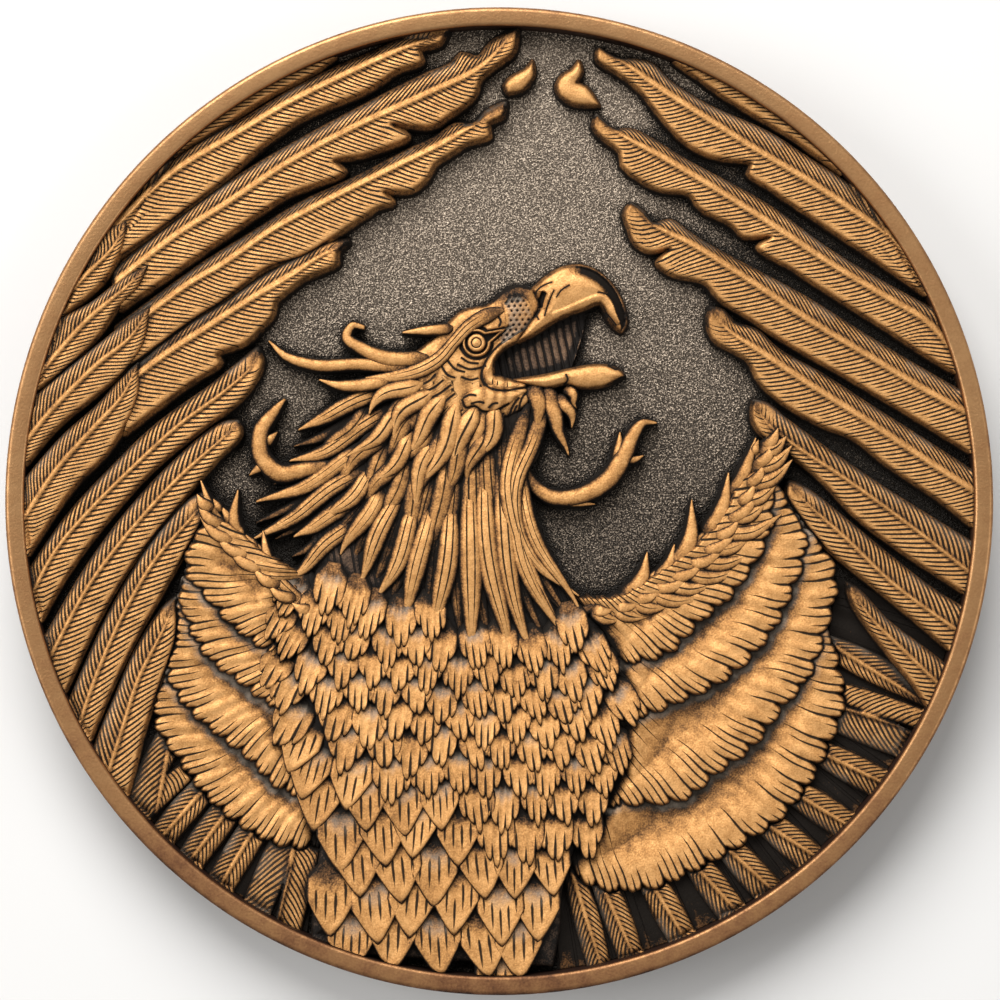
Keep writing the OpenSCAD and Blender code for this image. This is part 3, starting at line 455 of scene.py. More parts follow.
def relief_copper(name, bright, worn, brown, dark, shine):
    """Antique copper: polished high parts, black patina with painted shade in marked recesses, black patina
    in engraved grooves, and a painted silvery highlight where marked.
    """
    n = Nodes(name)
    at, width = n.mark("groove_at"), n.mark("groove_width")
    away = n.math("ABSOLUTE", n.math("SUBTRACT", at, n.math("ROUND", at)))
    wobble = n.sway(n.noise(0.35), 0.10)
    reach = n.math("ADD", width, n.math("MULTIPLY", wobble, n.span(width, 0.0, 0.05)))
    groove = n.span(n.math("SUBTRACT", reach, away), -0.05, 0.06)
    groove = n.math("MULTIPLY", groove, n.span(width, 0.0, 0.06))
    grain, mottle, cloud = n.noise(0.09, 2), n.noise(0.45, 3), n.noise(2.4, 2)
    stain = n.sway(mottle, 0.70)
    stain = n.math("ADD", stain, n.sway(grain, 0.75))
    patina = n.mark("patina")
    # The colour darkens with stains and with the patina mark, which holds patina and painted shade
    # together.
    tone_and_painted_light = n.math("ADD", patina, n.math("MULTIPLY", stain, n.span(patina, 0.0, 0.5, 0.55, 1.0)))
    tone_and_painted_light = n.math("ADD", tone_and_painted_light, n.sway(cloud, 0.22), clamp=True)
    colour = n.ramp(tone_and_painted_light, [(0.0, bright), (0.25, worn), (0.54, brown), (0.82, dark)])
    colour = n.blend(n.math("MULTIPLY", groove, 0.97), colour, dark)
    # Painted highlight: a warm silver colour blended in wherever the highlight mark is set.
    colour = n.blend(n.math("MULTIPLY", n.mark("painted_glint"), n.span(mottle, 0.3, 0.7, 0.35, 1.0)), colour,
                     (0.47, 0.385, 0.30))
    n.put(colour, n.shader.inputs["Base Color"])
    n.shader.inputs["Metallic"].default_value = 0.65
    shade = n.math("ADD", n.math("MULTIPLY", n.math("MAXIMUM", groove, tone_and_painted_light), 0.25), shine)
    n.put(n.math("ADD", shade, n.sway(grain, 0.12)),
          n.shader.inputs["Roughness"])
    height = n.math("SUBTRACT", n.math("MULTIPLY", grain, 0.20), groove)
    height = n.math("ADD", height, n.math("MULTIPLY", mottle, 0.30))
    n.put(n.bump(height, 0.09), n.shader.inputs["Normal"])


def sandblasted(name):
    """The field: dark patina over a fine blasted grain, whose high points are rubbed bright, with painted
    light brightening it towards the top of the coin and marked painted shade darkening it.
    """
    n = Nodes(name)
    grain = n.noise(0.085, 1)
    coarse = n.noise(0.24, 2)
    cloud = n.noise(9.0, 1)
    place = n.new("ShaderNodeSeparateXYZ")
    n.put(n.coords, place.inputs[0])
    # Painted light: the field grows brighter towards the top of the coin and darker towards the bottom.
    lift = n.span(place.outputs[1], -0.014, 0.024, -0.24, 0.42)
    patches = n.sway(coarse, 0.35)
    tone_and_painted_light = n.math("ADD", n.span(grain, 0.42, 0.68, 0.14, 0.92), patches)
    tone_and_painted_light = n.math("ADD", tone_and_painted_light, n.math("ADD", lift, n.sway(cloud, 0.3)))
    tone_and_painted_light = n.math("SUBTRACT", tone_and_painted_light, n.math("MULTIPLY", n.mark("patina"), 0.9), clamp=True)
    colour = n.ramp(tone_and_painted_light, [(0.0, (0.012, 0.009, 0.006)), (0.35, (0.075, 0.058, 0.042)),
                          (0.75, (0.20, 0.155, 0.115)), (1.0, (0.46, 0.37, 0.28))])
    n.put(colour, n.shader.inputs["Base Color"])
    n.shader.inputs["Metallic"].default_value = 0.7
    n.put(n.span(grain, 0.3, 0.7, 0.55, 0.40), n.shader.inputs["Roughness"])
    height = n.math("ADD", grain, n.math("MULTIPLY", coarse, 0.8))
    n.put(n.bump(height, 0.11), n.shader.inputs["Normal"])


def brushed_rim(name):
    """The rim: satin copper with fine scuff marks and brown stains, darkened by painted shade where marked.
    """
    n = Nodes(name)
    grain, mottle, cloud = n.noise(0.12, 3), n.noise(0.8, 3), n.noise(5.0, 2)
    tone_and_painted_light = n.math("ADD", n.math("MULTIPLY", mottle, 0.45), n.math("MULTIPLY", cloud, 0.5))
    tone_and_painted_light = n.math("ADD", tone_and_painted_light, n.sway(grain, 0.3))
    tone_and_painted_light = n.math("SUBTRACT", n.math("MULTIPLY", tone_and_painted_light, 1.5), 0.52)
    tone_and_painted_light = n.math("ADD", tone_and_painted_light, n.mark("patina"), clamp=True)
    colour = n.ramp(tone_and_painted_light, [(0.0, (0.55, 0.30, 0.13)), (0.35, (0.40, 0.205, 0.085)),
                          (0.7, (0.21, 0.095, 0.042)), (1.0, (0.05, 0.024, 0.016))])
    n.put(colour, n.shader.inputs["Base Color"])
    n.shader.inputs["Metallic"].default_value = 0.85
    n.put(n.span(tone_and_painted_light, 0.0, 1.0, 0.38, 0.62), n.shader.inputs["Roughness"])
    n.put(n.bump(n.math("ADD", grain, mottle), 0.02, 0.6), n.shader.inputs["Normal"])


def make_materials():
    relief_copper("copper_relief", (0.77, 0.415, 0.152), (0.50, 0.245, 0.076), (0.17, 0.078, 0.027),
                  (0.012, 0.008, 0.005), 0.56)
    # dark_relief is a darker copy of the copper for the sunk torso, neck and mouth: patina and painted
    # shade.
    relief_copper("dark_relief", (0.40, 0.24, 0.13), (0.22, 0.13, 0.075), (0.09, 0.055, 0.035),
                  (0.012, 0.009, 0.007), 0.50)
    relief_copper("reverse_relief", (0.70, 0.38, 0.17), (0.48, 0.24, 0.10), (0.17, 0.08, 0.035),
                  (0.015, 0.009, 0.006), 0.42)
    sandblasted("sandblasted_field")
    brushed_rim("brushed_rim")


# ------------------------------------------------------------------ long feathers and coverts

# The shaft of each long feather and covert, drawn from its tip to its base
SHAFTS = {
    "left_primary_1": [(-6.4, 24.6), (-11, 22.6), (-14.6, 20.2), (-18.6, 16.9)],
    "left_primary_2": [(-2.7, 24.2), (-5.6, 23.1), (-8, 22), (-11, 20.5), (-14, 18.7), (-16.5, 17.2),
                       (-18, 16), (-20, 14)],
    "left_primary_3": [(0.7, 24.2), (-1, 22.4), (-3.8, 21), (-7.5, 19.3), (-11, 17.4), (-14.3, 15.2),
                       (-16.7, 13.7), (-19.4, 11.6)],
    "left_primary_4": [(0.1, 20.3), (-2.7, 18.6), (-5.5, 17.2), (-9.3, 15.3), (-11.7, 14),
                       (-14.3, 12.2), (-16, 11.2), (-19, 9)],
    "left_primary_5": [(-7.8, 13.3), (-8.9, 12.8), (-11, 11.5), (-13, 10.3), (-15, 9), (-17, 7.7),
                       (-19.6, 5.8)],
    "left_primary_6": [(-12.4, 7.8), (-12.8, 6.9), (-14.2, 5.6), (-16.5, 3.9), (-18.8, 1.8),
                       (-21.1, -0.5), (-22.8, -2.5), (-24.2, -5)],
    "left_primary_7": [(-13.4, 4), (-14.5, 3), (-16.5, 1.2), (-18.8, -1.3), (-21.1, -4.3),
                       (-22.9, -7.6)],
    "left_primary_8": [(-15, 0.3), (-15.8, -0.8), (-17.7, -3), (-19.3, -5.7), (-20.6, -8.6),
                       (-21.8, -12)],
    "left_primary_9": [(-16.7, -5.1), (-17.3, -6.6), (-18.6, -9.2), (-19.4, -11.7), (-20.3, -14.5)],
    "left_covert_1": [(-19.2, 14.4), (-20, 12.9), (-21.3, 11.6), (-22.9, 9.9)],
    "left_covert_2": [(-18.1, 12.1), (-19.2, 11), (-21.2, 9.3), (-23, 7.3), (-24.1, 6)],
    "left_covert_3": [(-18, 10), (-19, 8.4), (-20.7, 7), (-23, 4.7), (-24.4, 3)],
    "left_covert_4": [(-18.6, 7.1), (-19.4, 5.4), (-21, 3.6), (-22.7, 1.7), (-24.4, -0.8)],
    "right_primary_1": [(7, 24.6), (12, 22.6), (15.6, 20.1), (19, 17)],
    "right_primary_2": [(5.1, 23.4), (6.6, 22.5), (8, 21.5), (10, 20.2), (13, 18.3), (16, 16.5),
                        (19, 14.5), (20.3, 13.6), (22.4, 11)],
    "right_primary_3": [(5, 19.8), (6.6, 18.7), (8.3, 17.8), (11, 16.2), (14, 14.3), (17, 12.3),
                        (20, 10.5), (22, 9.3), (23.6, 7.6)],
    "right_primary_4": [(6.8, 15.3), (8, 14.2), (10, 13.2), (13, 11.3), (16, 9.3), (19, 7.5), (22, 5.7),
                        (24.4, 4.4)],
    "right_primary_5": [(10.9, 9.9), (11.8, 8.8), (13.3, 7.8), (16, 6), (19, 4.1), (22, 2.1),
                        (24.8, 0.3)],
    "right_primary_6": [(13.1, 5.1), (13.8, 4), (15, 3), (18, 1), (21.7, -1.7), (24.6, -4)],
    "right_primary_7": [(14.9, 0.9), (15.9, -0.2), (18, -2.1), (20.3, -4.3), (24, -7)],
    "right_primary_8": [(18, -4.3), (19.1, -6), (20.8, -7.7), (23.2, -10)],
}


def feather_sculpt(shaft, top, seed, pitch=(0.29, 0.38), cot=(0.75, 1.6), bare=0.9, tilt=0.16,
                   shaft_w=0.12):
    """A blade with a raised shaft and slanted barbs. The side towards the coin's centre stands higher.

    pitch and cot are the barbs' spacing along the shaft and their slant, inner side first, and bare is how
    far from the tip the barbs begin.
    """
    line = rounded(shaft, 0.3)
    facing = np.sign(along(line, np.zeros(1), np.zeros(1))[1][0])

    def sculpt(x, y, d):
        s, t, _ = along(line, x, y)
        t = t * facing
        reach = np.abs(t)
        f = reach / np.maximum(reach + d, 1e-3)
        inner = t > 0
        bow = 0.10 * np.sin(s * 0.9 + seed) + 0.35 * f * f
        gu = (s + reach * np.where(inner, cot[0], cot[1]) + bow) / np.where(inner, pitch[0], pitch[1])
        cell = np.round(gu)
        end = 0.82 + 0.3 * scatter(cell, seed)
        fade = ease(bare, bare + 1.6, s + 1.2 * scatter(cell, seed + 1))
        width_in = 0.20 * ease(0.02, 0.10, f) * (1 - 0.9 * ease(end - 0.2, end, f))
        width_out = 0.25 * ease(0.02, 0.12, f)
        slim = shaft_w * ease(-0.5, 4.0, s) + 0.03
        on_shaft = ease(slim * 1.5, slim * 0.8, reach)
        gw = np.where(inner, width_in, width_out) * fade * (1 - on_shaft)
        ridge = 0.15 * np.exp(-(reach / (slim * 1.25)) ** 4) * ease(0.0, 2.5, s)
        height = top + tilt * np.where(inner, f, -1.1 * f) + 0.06 * np.sin(math.pi * f) + ridge
        height -= np.where(inner, 0.30, 0.14) * (1 - dome(d, 0.22))
        wave = np.sin(s * 1.9 + seed) * np.sin(t * 1.7 + seed)
        height += 0.04 * wave * ease(bare + 2.5, 0.3, s)
        # Darker along the outline, and the outer vane, lying lower under its neighbour, darker than the
        # inner one: patina and painted shade.
        patina = 0.16 + 0.38 * ease(0.12, 0.0, d) + np.where(inner, -0.08 * f, 0.04)
        patina += 0.24 * np.exp(-((reach - slim * 1.7) / 0.08) ** 2)
        patina += 0.20 * ease(bare + 1.5, 0.0, s) * ease(0.5, 0.1, d)
        # Painted highlight on the outer vane towards its edge, on some stretches of the shaft.
        painted_glint = 0.3 * (1 - inner) * ease(0.3, 0.9, f) * scatter(np.round(s * 0.7), seed + 3)
        return height, marks_of(len(x), gu, gw, patina, painted_glint)

    return sculpt


# The four long feathers whose edges slope down to the field most gently
SOFT_EDGED = ("left_primary_2", "left_primary_3", "left_primary_4", "left_primary_5")


def build_feathers():
    for seed, (node, shaft) in enumerate(SHAFTS.items()):
        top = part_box(node)[1].z / MM - FIELD
        looks = {}
        if node[-1] in "6789" and "primary" in node:
            looks = dict(pitch=(0.37, 0.37), cot=(1.0, 1.0), tilt=0.10, shaft_w=0.06)
        if "covert" in node:
            looks = dict(pitch=(0.31, 0.31), cot=(1.1, 1.1), tilt=0.08, bare=0.0, shaft_w=0.08)
            top += 0.10
        if node[-1] == "1" and "primary" in node:
            looks = dict(pitch=(0.36, 0.36), cot=(1.3, 1.3), tilt=0.05, bare=0.3, shaft_w=0.02)
        soft = 0.28 if node in SOFT_EDGED else 0.17
        sheet = plate(top_loops(node), feather_sculpt(shaft, top, seed, **looks), flare=soft)
        piece(node, [sheet], "copper_relief")


# ------------------------------------------------------------------ covert rows and secondaries

# The centre each row's fingers spread from and the width of one finger in degrees
LEFT_FANS = [(-7, -4, 8), (-6.5, -5.5, 7), (-7, -6.8, 6.5), (-7, -10.3, 6.5)]
RIGHT_FANS = [(2, -2, 7), (1, -3, 5.5), (0.5, -5.5, 5), (1.7, -6.2, 4.5)]
LINES_PER_FINGER = 3


def row_sculpt(fan, top, above, seed):
    cx, cy, finger = fan
    torso = top_loops("torso")[:1]

    def sculpt(x, y, d):
        turns = np.degrees(np.arctan2(y - cy, x - cx)) / finger
        radius = np.hypot(x - cx, y - cy)
        turns = turns + 0.04 * np.sin(radius * 2.3 + seed)
        gu = turns * LINES_PER_FINGER
        cell = np.round(gu)
        between = np.mod(cell, LINES_PER_FINGER) == 0
        reach = np.where(between, 0.9 + 1.7 * scatter(cell, seed), 0.4 + 2.6 * scatter(cell, seed) ** 2)
        gw = np.where(between, 0.16, 0.12) * ease(reach, reach * 0.1, d)
        swell = np.abs(np.sin(math.pi * turns)) ** 0.6
        height = top + 0.12 - 0.42 * ease(0.7, 3.0, d) + 0.05 * swell * ease(1.6, 0.1, d)
        height += 0.02 * np.sin(turns * 9.1 + radius) * ease(3.5, 1.0, d)
        height -= 0.22 * (1 - dome(d, 0.15))
        inner = nearest(torso, np.stack([x, y], 1))[0]
        height -= 0.50 * ease(1.3, 0.0, inner)
        # Darker at the outline, far in from the free edge and by the torso, where the row sinks: patina and
        # painted shade.
        patina = 0.13 + 0.45 * ease(0.12, 0.0, d) + 0.16 * ease(1.0, 2.8, d) + 0.25 * ease(0.8, 0.1, inner)
        painted_glint = np.zeros(len(x))
        if above:
            under = nearest(above, np.stack([x, y], 1))[0]
            # Painted shadow just below the edge of the row above, then a band of painted highlight.
            patina = patina + 0.6 * ease(0.16, 0.03, under) + 0.10 * ease(0.9, 0.2, under)
            band = ease(0.05, 0.14, under) * ease(0.50, 0.2, under)
            painted_glint = band * (0.15 + 0.5 * scatter(np.round(turns), seed))
        return height, marks_of(len(x), gu, gw, patina, painted_glint)

    return sculpt


def ragged(loop, fan):
    """The outline with a notch between fingers and smaller notches between their barbs."""
    cx, cy, finger = fan
    line = rounded(np.vstack([loop, loop[:1]]), 0.07)[:-1]
    turns = np.degrees(np.arctan2(line[:, 1] - cy, line[:, 0] - cx)) / finger
    small = turns * LINES_PER_FINGER
    notch = 0.16 * (1 - np.abs(np.sin(math.pi * turns)) ** 0.5)
    notch += 0.30 * (1 - np.abs(np.sin(math.pi * small)) ** 0.7) * scatter(np.round(small), 4) ** 1.5
    away = line - [cx, cy]
    return line - away / np.linalg.norm(away, axis=1, keepdims=True) * notch[:, None]


def build_rows():
    for side, fans in (("left", LEFT_FANS), ("right", RIGHT_FANS)):
        above = None
        for row, fan in enumerate(fans, 1):
            node = f"{side}_covert_row_{row}"
            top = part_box(node)[1].z / MM - FIELD
            loops = [ragged(loop, fan) for loop in top_loops(node)]
            sheet = plate(loops, row_sculpt(fan, top, above, row), flare=0.08)
            piece(node, [sheet], "copper_relief")
            above = loops


def build_secondaries():
    """Each separate blade gets a shaft along its longest direction, with its tip at the rim."""
    for side in ("left", "right"):
        node = side + "_secondaries"
        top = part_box(node)[1].z / MM - FIELD
        sheets = []
        for k, loop in enumerate(top_loops(node)):
            centre = loop.mean(0)
            axis = np.linalg.svd(loop - centre)[2][0]
            axis *= np.sign(axis @ centre)
            if np.ptp((loop - centre) @ axis) < 1.0:
                continue
            shaft = [centre + axis * reach for reach in (4, 2, 0, -2, -4)]
            sculpt = feather_sculpt(shaft, top, 40 + k, (0.34, 0.34), (1.0, 1.0), -9, 0.04, 0.07)
            sheets.append(plate([loop], sculpt, flare=0.06))
        sheets.append(plate([under_secondaries(side)], under_sculpt, flare=0.0))
        piece(node, sheets, "copper_relief")


def under_secondaries(side):
    """The outline of the dark blades that lie between the secondaries and lower."""
    if side == "left":
        turns, inner = np.radians(np.arange(212, 248, 2)), [(-9.3, -17.5), (-12.5, -13.5), (-16.5, -11.8)]
    else:
        turns = np.radians(np.arange(277, 347, 2))
        inner = [(17.5, -4.0), (17, -7), (14.5, -11.5), (9.5, -16.3), (3.0, -18.0)]
    r = RIM_INNER - 0.01
    return np.vstack([np.stack([r * np.cos(turns), r * np.sin(turns)], 1), inner])


def under_sculpt(x, y, d):
    gu = np.degrees(np.arctan2(y, x)) / 1.15
    gw = 0.16 * ease(0.35, 0.7, scatter(np.round(gu), 2))
    # The low blades are dark: patina and painted shade under the secondaries.
    return 0.14 + 0.04 * np.cos(gu * 2.1), marks_of(len(x), gu, gw, 0.72)


# ------------------------------------------------------------------ ribbons

# Each wing arm is a stem with barbs. A spike is one of the long barbs that stand out over the field
LEFT_ARM = [(-9.2, -5.9, 0.3), (-10.7, -4.9, 0.42), (-12.4, -3.2, 0.38), (-13.8, -1.8, 0.26),
            (-15.2, 0.2, 0.04)]
LEFT_SPIKES = [
    [(-13.2, -2.3, 0.3), (-13.7, -1.0, 0.32), (-13.5, 0.5, 0.04)],
    [(-11.6, -4.1, 0.3), (-12.0, -2.9, 0.28), (-12.2, -1.6, 0.04)],
    [(-14.2, -1.4, 0.2), (-14.9, -0.3, 0.22), (-15.4, 1.0, 0.04)],
]
RIGHT_ARM = [(4.3, -5.7, 0.4), (6.6, -5.1, 0.5), (9, -3.7, 0.5), (11.2, -1.7, 0.45), (12.5, 0.4, 0.4),
             (13.8, 3.3, 0.05)]
RIGHT_SPIKES = [
    [(6.4, -5.2, 0.6), (7.3, -4.1, 0.42), (7.6, -2.7, 0.04)],
    [(9.0, -3.7, 0.7), (9.8, -2.1, 0.45), (9.9, 0.0, 0.04)],
    [(8.0, -4.3, 0.5), (8.7, -3.4, 0.36), (9.0, -2.3, 0.04)],
    [(10.7, -2.0, 0.6), (11.5, -0.4, 0.42), (11.8, 1.4, 0.04)],
    [(12.0, 0.0, 0.5), (12.7, 1.6, 0.36), (13.2, 3.2, 0.04)],
]


def barbs(stem, every, side, length, half, lean):
    """Leaf-shaped barbs along one side of a stem, longest at its middle."""
    line = rounded(stem, 0.1)
    run = np.concatenate([[0], np.cumsum(np.linalg.norm(np.diff(line[:, :2], axis=0), axis=1))])
    out = []
    for k, s in enumerate(np.arange(0.5, run[-1] - 0.5, every)):
        at = np.array([np.interp(s, run, line[:, i]) for i in range(3)])
        ahead = np.array([np.interp(s + 0.3, run, line[:, i]) for i in range(2)]) - at[:2]
        heading = math.atan2(ahead[1], ahead[0]) + side * lean
        reach = length * (0.75 + 0.5 * scatter(k, 3)) * (0.7 + 0.6 * math.sin(math.pi * s / run[-1]))
        way = np.array([math.cos(heading), math.sin(heading)])
        bent = np.array([math.cos(heading - side * 0.5), math.sin(heading - side * 0.5)])
        middle = at[:2] + way * reach * 0.5
        out.append([(*at[:2], half), (*middle, half), (*(middle + bent * reach * 0.5), 0.03)])
    return out


CREST = [
    [(-2.4, 8.85, 0.3), (-3.8, 8.75, 0.25), (-5, 8.65, 0.05)],
    [(-3.6, 7.3, 0.4), (-5.8, 7.3, 0.42), (-7.1, 7.8, 0.34), (-7.9, 8.4, 0.27), (-7.6, 9, 0.2),
     (-7, 8.9, 0.12)],
    [(-4.4, 6.8, 0.4), (-7.3, 7, 0.33), (-9.4, 6.95, 0.32), (-11, 7.4, 0.22), (-11.9, 8.2, 0.05)],
    [(-5.4, 6.25, 0.4), (-6.9, 5.95, 0.36), (-8.2, 5.9, 0.26), (-9.3, 6.2, 0.04)],
]
NAPE = [
    [(-5, 6, 0.5), (-7.2, 5.2, 0.45), (-9, 4.2, 0.35), (-10.4, 3.7, 0.04)],
    [(-5, 5, 0.5), (-7.2, 3.8, 0.45), (-9.2, 2.4, 0.36), (-10.8, 1.9, 0.04)],
    [(-5.6, 3.4, 0.5), (-7.9, 2.2, 0.45), (-10.2, 0.6, 0.36), (-12.5, -0.2, 0.06)],
    [(-6.4, 1.8, 0.5), (-8.8, 0.6, 0.45), (-10.8, -1, 0.34), (-12.6, -2.1, 0.05)],
    [(-6.8, 0.4, 0.5), (-8.6, -0.7, 0.45), (-9.6, -1.5, 0.34), (-10.6, -1.9, 0.04)],
    [(-7.2, -1, 0.5), (-8.8, -2.2, 0.45), (-10, -3.4, 0.3), (-10.8, -3.9, 0.04)],
]
CHEEK = [
    [(-3.6, 6.2, 0.4), (-5.5, 5.5, 0.42), (-6.7, 4.4, 0.04)],
    [(-3.2, 5.9, 0.4), (-4.8, 4.5, 0.46), (-5.7, 3.2, 0.04)],
    [(-2.6, 5.7, 0.4), (-3.9, 3.9, 0.48), (-5.1, 2.5, 0.04)],
    [(-5.0, 5.0, 0.35), (-6.4, 3.4, 0.40), (-7.6, 2.0, 0.04)],
    [(-4.3, 3.8, 0.35), (-5.5, 2.0, 0.40), (-6.4, 0.6, 0.04)],
    [(-2.0, 5.6, 0.45), (-2.9, 3.0, 0.52), (-4.1, 0.3, 0.04)],
    [(-1.1, 5.4, 0.45), (-1.8, 3.2, 0.48), (-2.7, 1.1, 0.04)],
    [(-0.1, 5.2, 0.45), (-0.5, 3.6, 0.44), (-1.2, 1.8, 0.04)],
    [(-3.1, 3.6, 0.35), (-4.1, 1.4, 0.42), (-4.9, -0.5, 0.04)],
]
CHEST = [
    [(-6.4, 2, 0.3), (-7.8, 0, 0.4), (-8.9, -1.2, 0.04)],
    [(-5.8, 1.2, 0.3), (-7.1, -1.2, 0.42), (-8.0, -2.9, 0.04)],
    [(-4.9, 0.9, 0.3), (-6.4, -2.2, 0.45), (-7.5, -4.2, 0.04)],
    [(-4.1, 0.6, 0.3), (-5.3, -2.9, 0.46), (-6.2, -5.2, 0.04)],
    [(-3.3, 0.8, 0.3), (-4.2, -3.6, 0.48), (-5.2, -6.4, 0.04)],
    [(-2.4, 1, 0.3), (-2.9, -4.0, 0.52), (-3.2, -7.2, 0.04)],
    [(-1.5, 2.2, 0.3), (-1.6, -3.6, 0.56), (-1.1, -8.6, 0.04)],
    [(-0.8, 2.8, 0.3), (-0.5, -3.4, 0.54), (0.5, -8.9, 0.04)],
    [(-0.1, 3.2, 0.28), (0.4, -3, 0.50), (2.0, -8.5, 0.04)],
    [(0.4, 3.0, 0.26), (1.3, -3, 0.42), (3.2, -7.3, 0.04)],
    [(0.9, 2.8, 0.22), (1.9, -2.2, 0.34), (4.0, -5.9, 0.04)],
    [(1.5, 5.0, 0.3), (0.9, 3.0, 0.42), (0.4, 0.8, 0.42), (0.7, -1.8, 0.38), (1.6, -4.2, 0.3),
     (3.1, -6.4, 0.04)],
    [(2.4, 5.2, 0.3), (1.7, 3.0, 0.38), (0.95, 0.9, 0.36), (1.1, -1.3, 0.32), (2.0, -3.3, 0.24),
     (3.9, -5.1, 0.04)],
]
THROAT = [
    [(1.6, 5.9, 0.5), (2, 4.9, 0.42), (2.2, 3.4, 0.04)],
    [(2.4, 5.8, 0.45), (2.9, 4.4, 0.4), (3, 3.4, 0.26), (3.4, 2.3, 0.04)],
    [(3, 5.4, 0.35), (3.5, 4.6, 0.3), (3.8, 3.8, 0.04)],
    [(3.4, 5.8, 0.3), (3.9, 5.3, 0.22), (4, 4.8, 0.04)],
]
LEFT_CURL = [
    [(-8, 2, 0.2), (-9.9, 1.6, 0.4), (-11.4, 1.4, 0.48), (-12.3, 2.3, 0.46), (-12.3, 3.6, 0.42),
     (-11.7, 4.5, 0.3), (-11.1, 5.2, 0.08)],
    [(-12, 1.9, 0.36), (-12.5, 1.6, 0.22), (-12.9, 1.3, 0.04)],
    [(-12.1, 2.9, 0.3), (-11.8, 3.2, 0.22), (-11.5, 3.5, 0.04)],
]
RIGHT_CURL = [
    [(1.2, 2.2, 0.2), (1.6, 1, 0.3), (2.6, 0.2, 0.4), (4, 0.2, 0.45), (5.5, 1, 0.5), (6.4, 2.3, 0.46),
     (6.9, 3.4, 0.36), (7.4, 4, 0.22), (8.1, 4, 0.05)],
    [(3, 0.05, 0.3), (4, -0.15, 0.2), (4.9, -0.2, 0.04)],
    [(6, 1.8, 0.36), (6.15, 2.7, 0.26), (6.2, 3.5, 0.04)],
    [(6.3, 2.2, 0.3), (6.9, 2.1, 0.2), (7.4, 2.3, 0.04)],
]


def between(list_of_strands, thin=0.75):
    """A finer strand half way between each two neighbours of equal length."""
    out = []
    for a, b in zip(list_of_strands, list_of_strands[1:]):
        if len(a) == len(b):
            mid = (np.array(a) + np.array(b)) / 2
            mid[:, 2] *= thin
            out.append(mid)
    return out


def moved(strands, dx, dy, thin):
    """The same strands in another place, with other widths."""
    return [[(x + dx, y + dy, w * thin) for x, y, w in points] for points in strands]


def ribbons(node, strands, low, high, lift=0.012, **looks):
    piece(node, SHEETS.get(node, []) + [
        strand(points, low + k * lift, high + k * lift, **looks) for k, points in enumerate(strands)
    ], "copper_relief")


def build_ribbons():
    arms = (("left", LEFT_ARM, LEFT_SPIKES, 1), ("right", RIGHT_ARM, RIGHT_SPIKES, -1))
    for side, stem, spikes, inward in arms:
        node = side + "_wing_arm"
        ribbons(node, barbs(stem, 1.0, -inward, 1.1, 0.26, 0.6), 0.75, 0.95, patina=0.10)
        ribbons(node, spikes, 0.85, 1.05, crown=0.6, patina=0.05)
        ribbons(node, [stem], 1.0, 1.12, crown=0.35, lines=2)
        if side == "right":
            long_barbs = barbs(stem, 0.95, inward, 2.4, 0.38, 0.85)
            ribbons(node, long_barbs, 1.10, 1.24, crown=0.4, patina=0.06, lines=1)
        ribbons(node, barbs(stem, 1.05, inward, 1.6, 0.30, 0.50), 1.16, 1.32, crown=0.4, patina=0.02)
    for k, points in enumerate(CREST, 1):
        ribbons(f"crest_plume_{k}", [points], 0.9 + 0.02 * k, 1.1, crown=0.7)
    # Lower strands are darker than the upper ones: patina and painted shade under the upper layers.
    ribbons("nape_hackles", between(NAPE), 0.35, 0.5, patina=0.5)
    ribbons("nape_hackles", NAPE, 0.66, 0.86, crown=0.45, lines=2, patina=0.06, wave=0.14)
    ribbons("nape_hackles", moved(CHEST[:6], -0.2, 3.3, 1.1), 0.56, 0.88, crown=0.45, patina=0.20, lines=1,
            wave=0.4)
    ribbons("chest_hackles", moved(CHEST[4:10], 0.1, 2.6, 1.1), 0.52, 0.86, crown=0.40, patina=0.22,
            lines=2, wave=0.3)
    ribbons("chest_hackles", between(CHEST), 0.48, 0.92, crown=0.35, patina=0.26, lines=1, wave=0.2)
    ribbons("chest_hackles", moved(CHEST, 0, 0, 1.10), 0.6, 1.14, crown=0.48, lines=2, wave=0.3)
    ribbons("cheek_hackles", moved(CHEEK[1:8], -0.5, -1.0, 1.15), 0.68, 1.0, crown=0.45, patina=0.18,
            lines=1, wave=0.4)
    fill = between(CHEEK[:3]) + between(CHEEK[5:8])
    ribbons("cheek_hackles", fill, 0.84, 1.04, crown=0.4, patina=0.06, root=0, slim=0.3)
    ribbons("cheek_hackles", moved(CHEEK[::-1], 0, 0, 1.1), 0.96, 1.12, crown=0.48, lines=1, root=0,
            slim=0.3, wave=0.4)
    ribbons("throat_flames", THROAT[::-1], 0.70, 0.85, crown=0.6, patina=0.12, wave=0.2)
    ribbons("left_curl_flame", LEFT_CURL[::-1], 0.72, 0.85, crown=0.7, patina=0.08)
    ribbons("right_curl_flame", RIGHT_CURL[::-1], 0.68, 0.85, crown=0.7, patina=0.08)
    for node in ("left_flame_drop", "right_flame_drop"):
        piece(node, [plate(top_loops(node), pebble_sculpt(0.75, 0.35, 0.5), flare=0.16)], "copper_relief")


def pebble_sculpt(edge, rise, reach, patina=0.08):
    """A smooth swelling over its whole outline."""
    def sculpt(x, y, d):
        height = edge + rise * dome(d, reach)
        return height, marks_of(len(x), patina=patina + 0.55 * ease(0.2, 0.0, d))
    return sculpt


# ------------------------------------------------------------------ body

def body_height(d):
    return 0.80 + 0.32 * dome(d, 3.2)


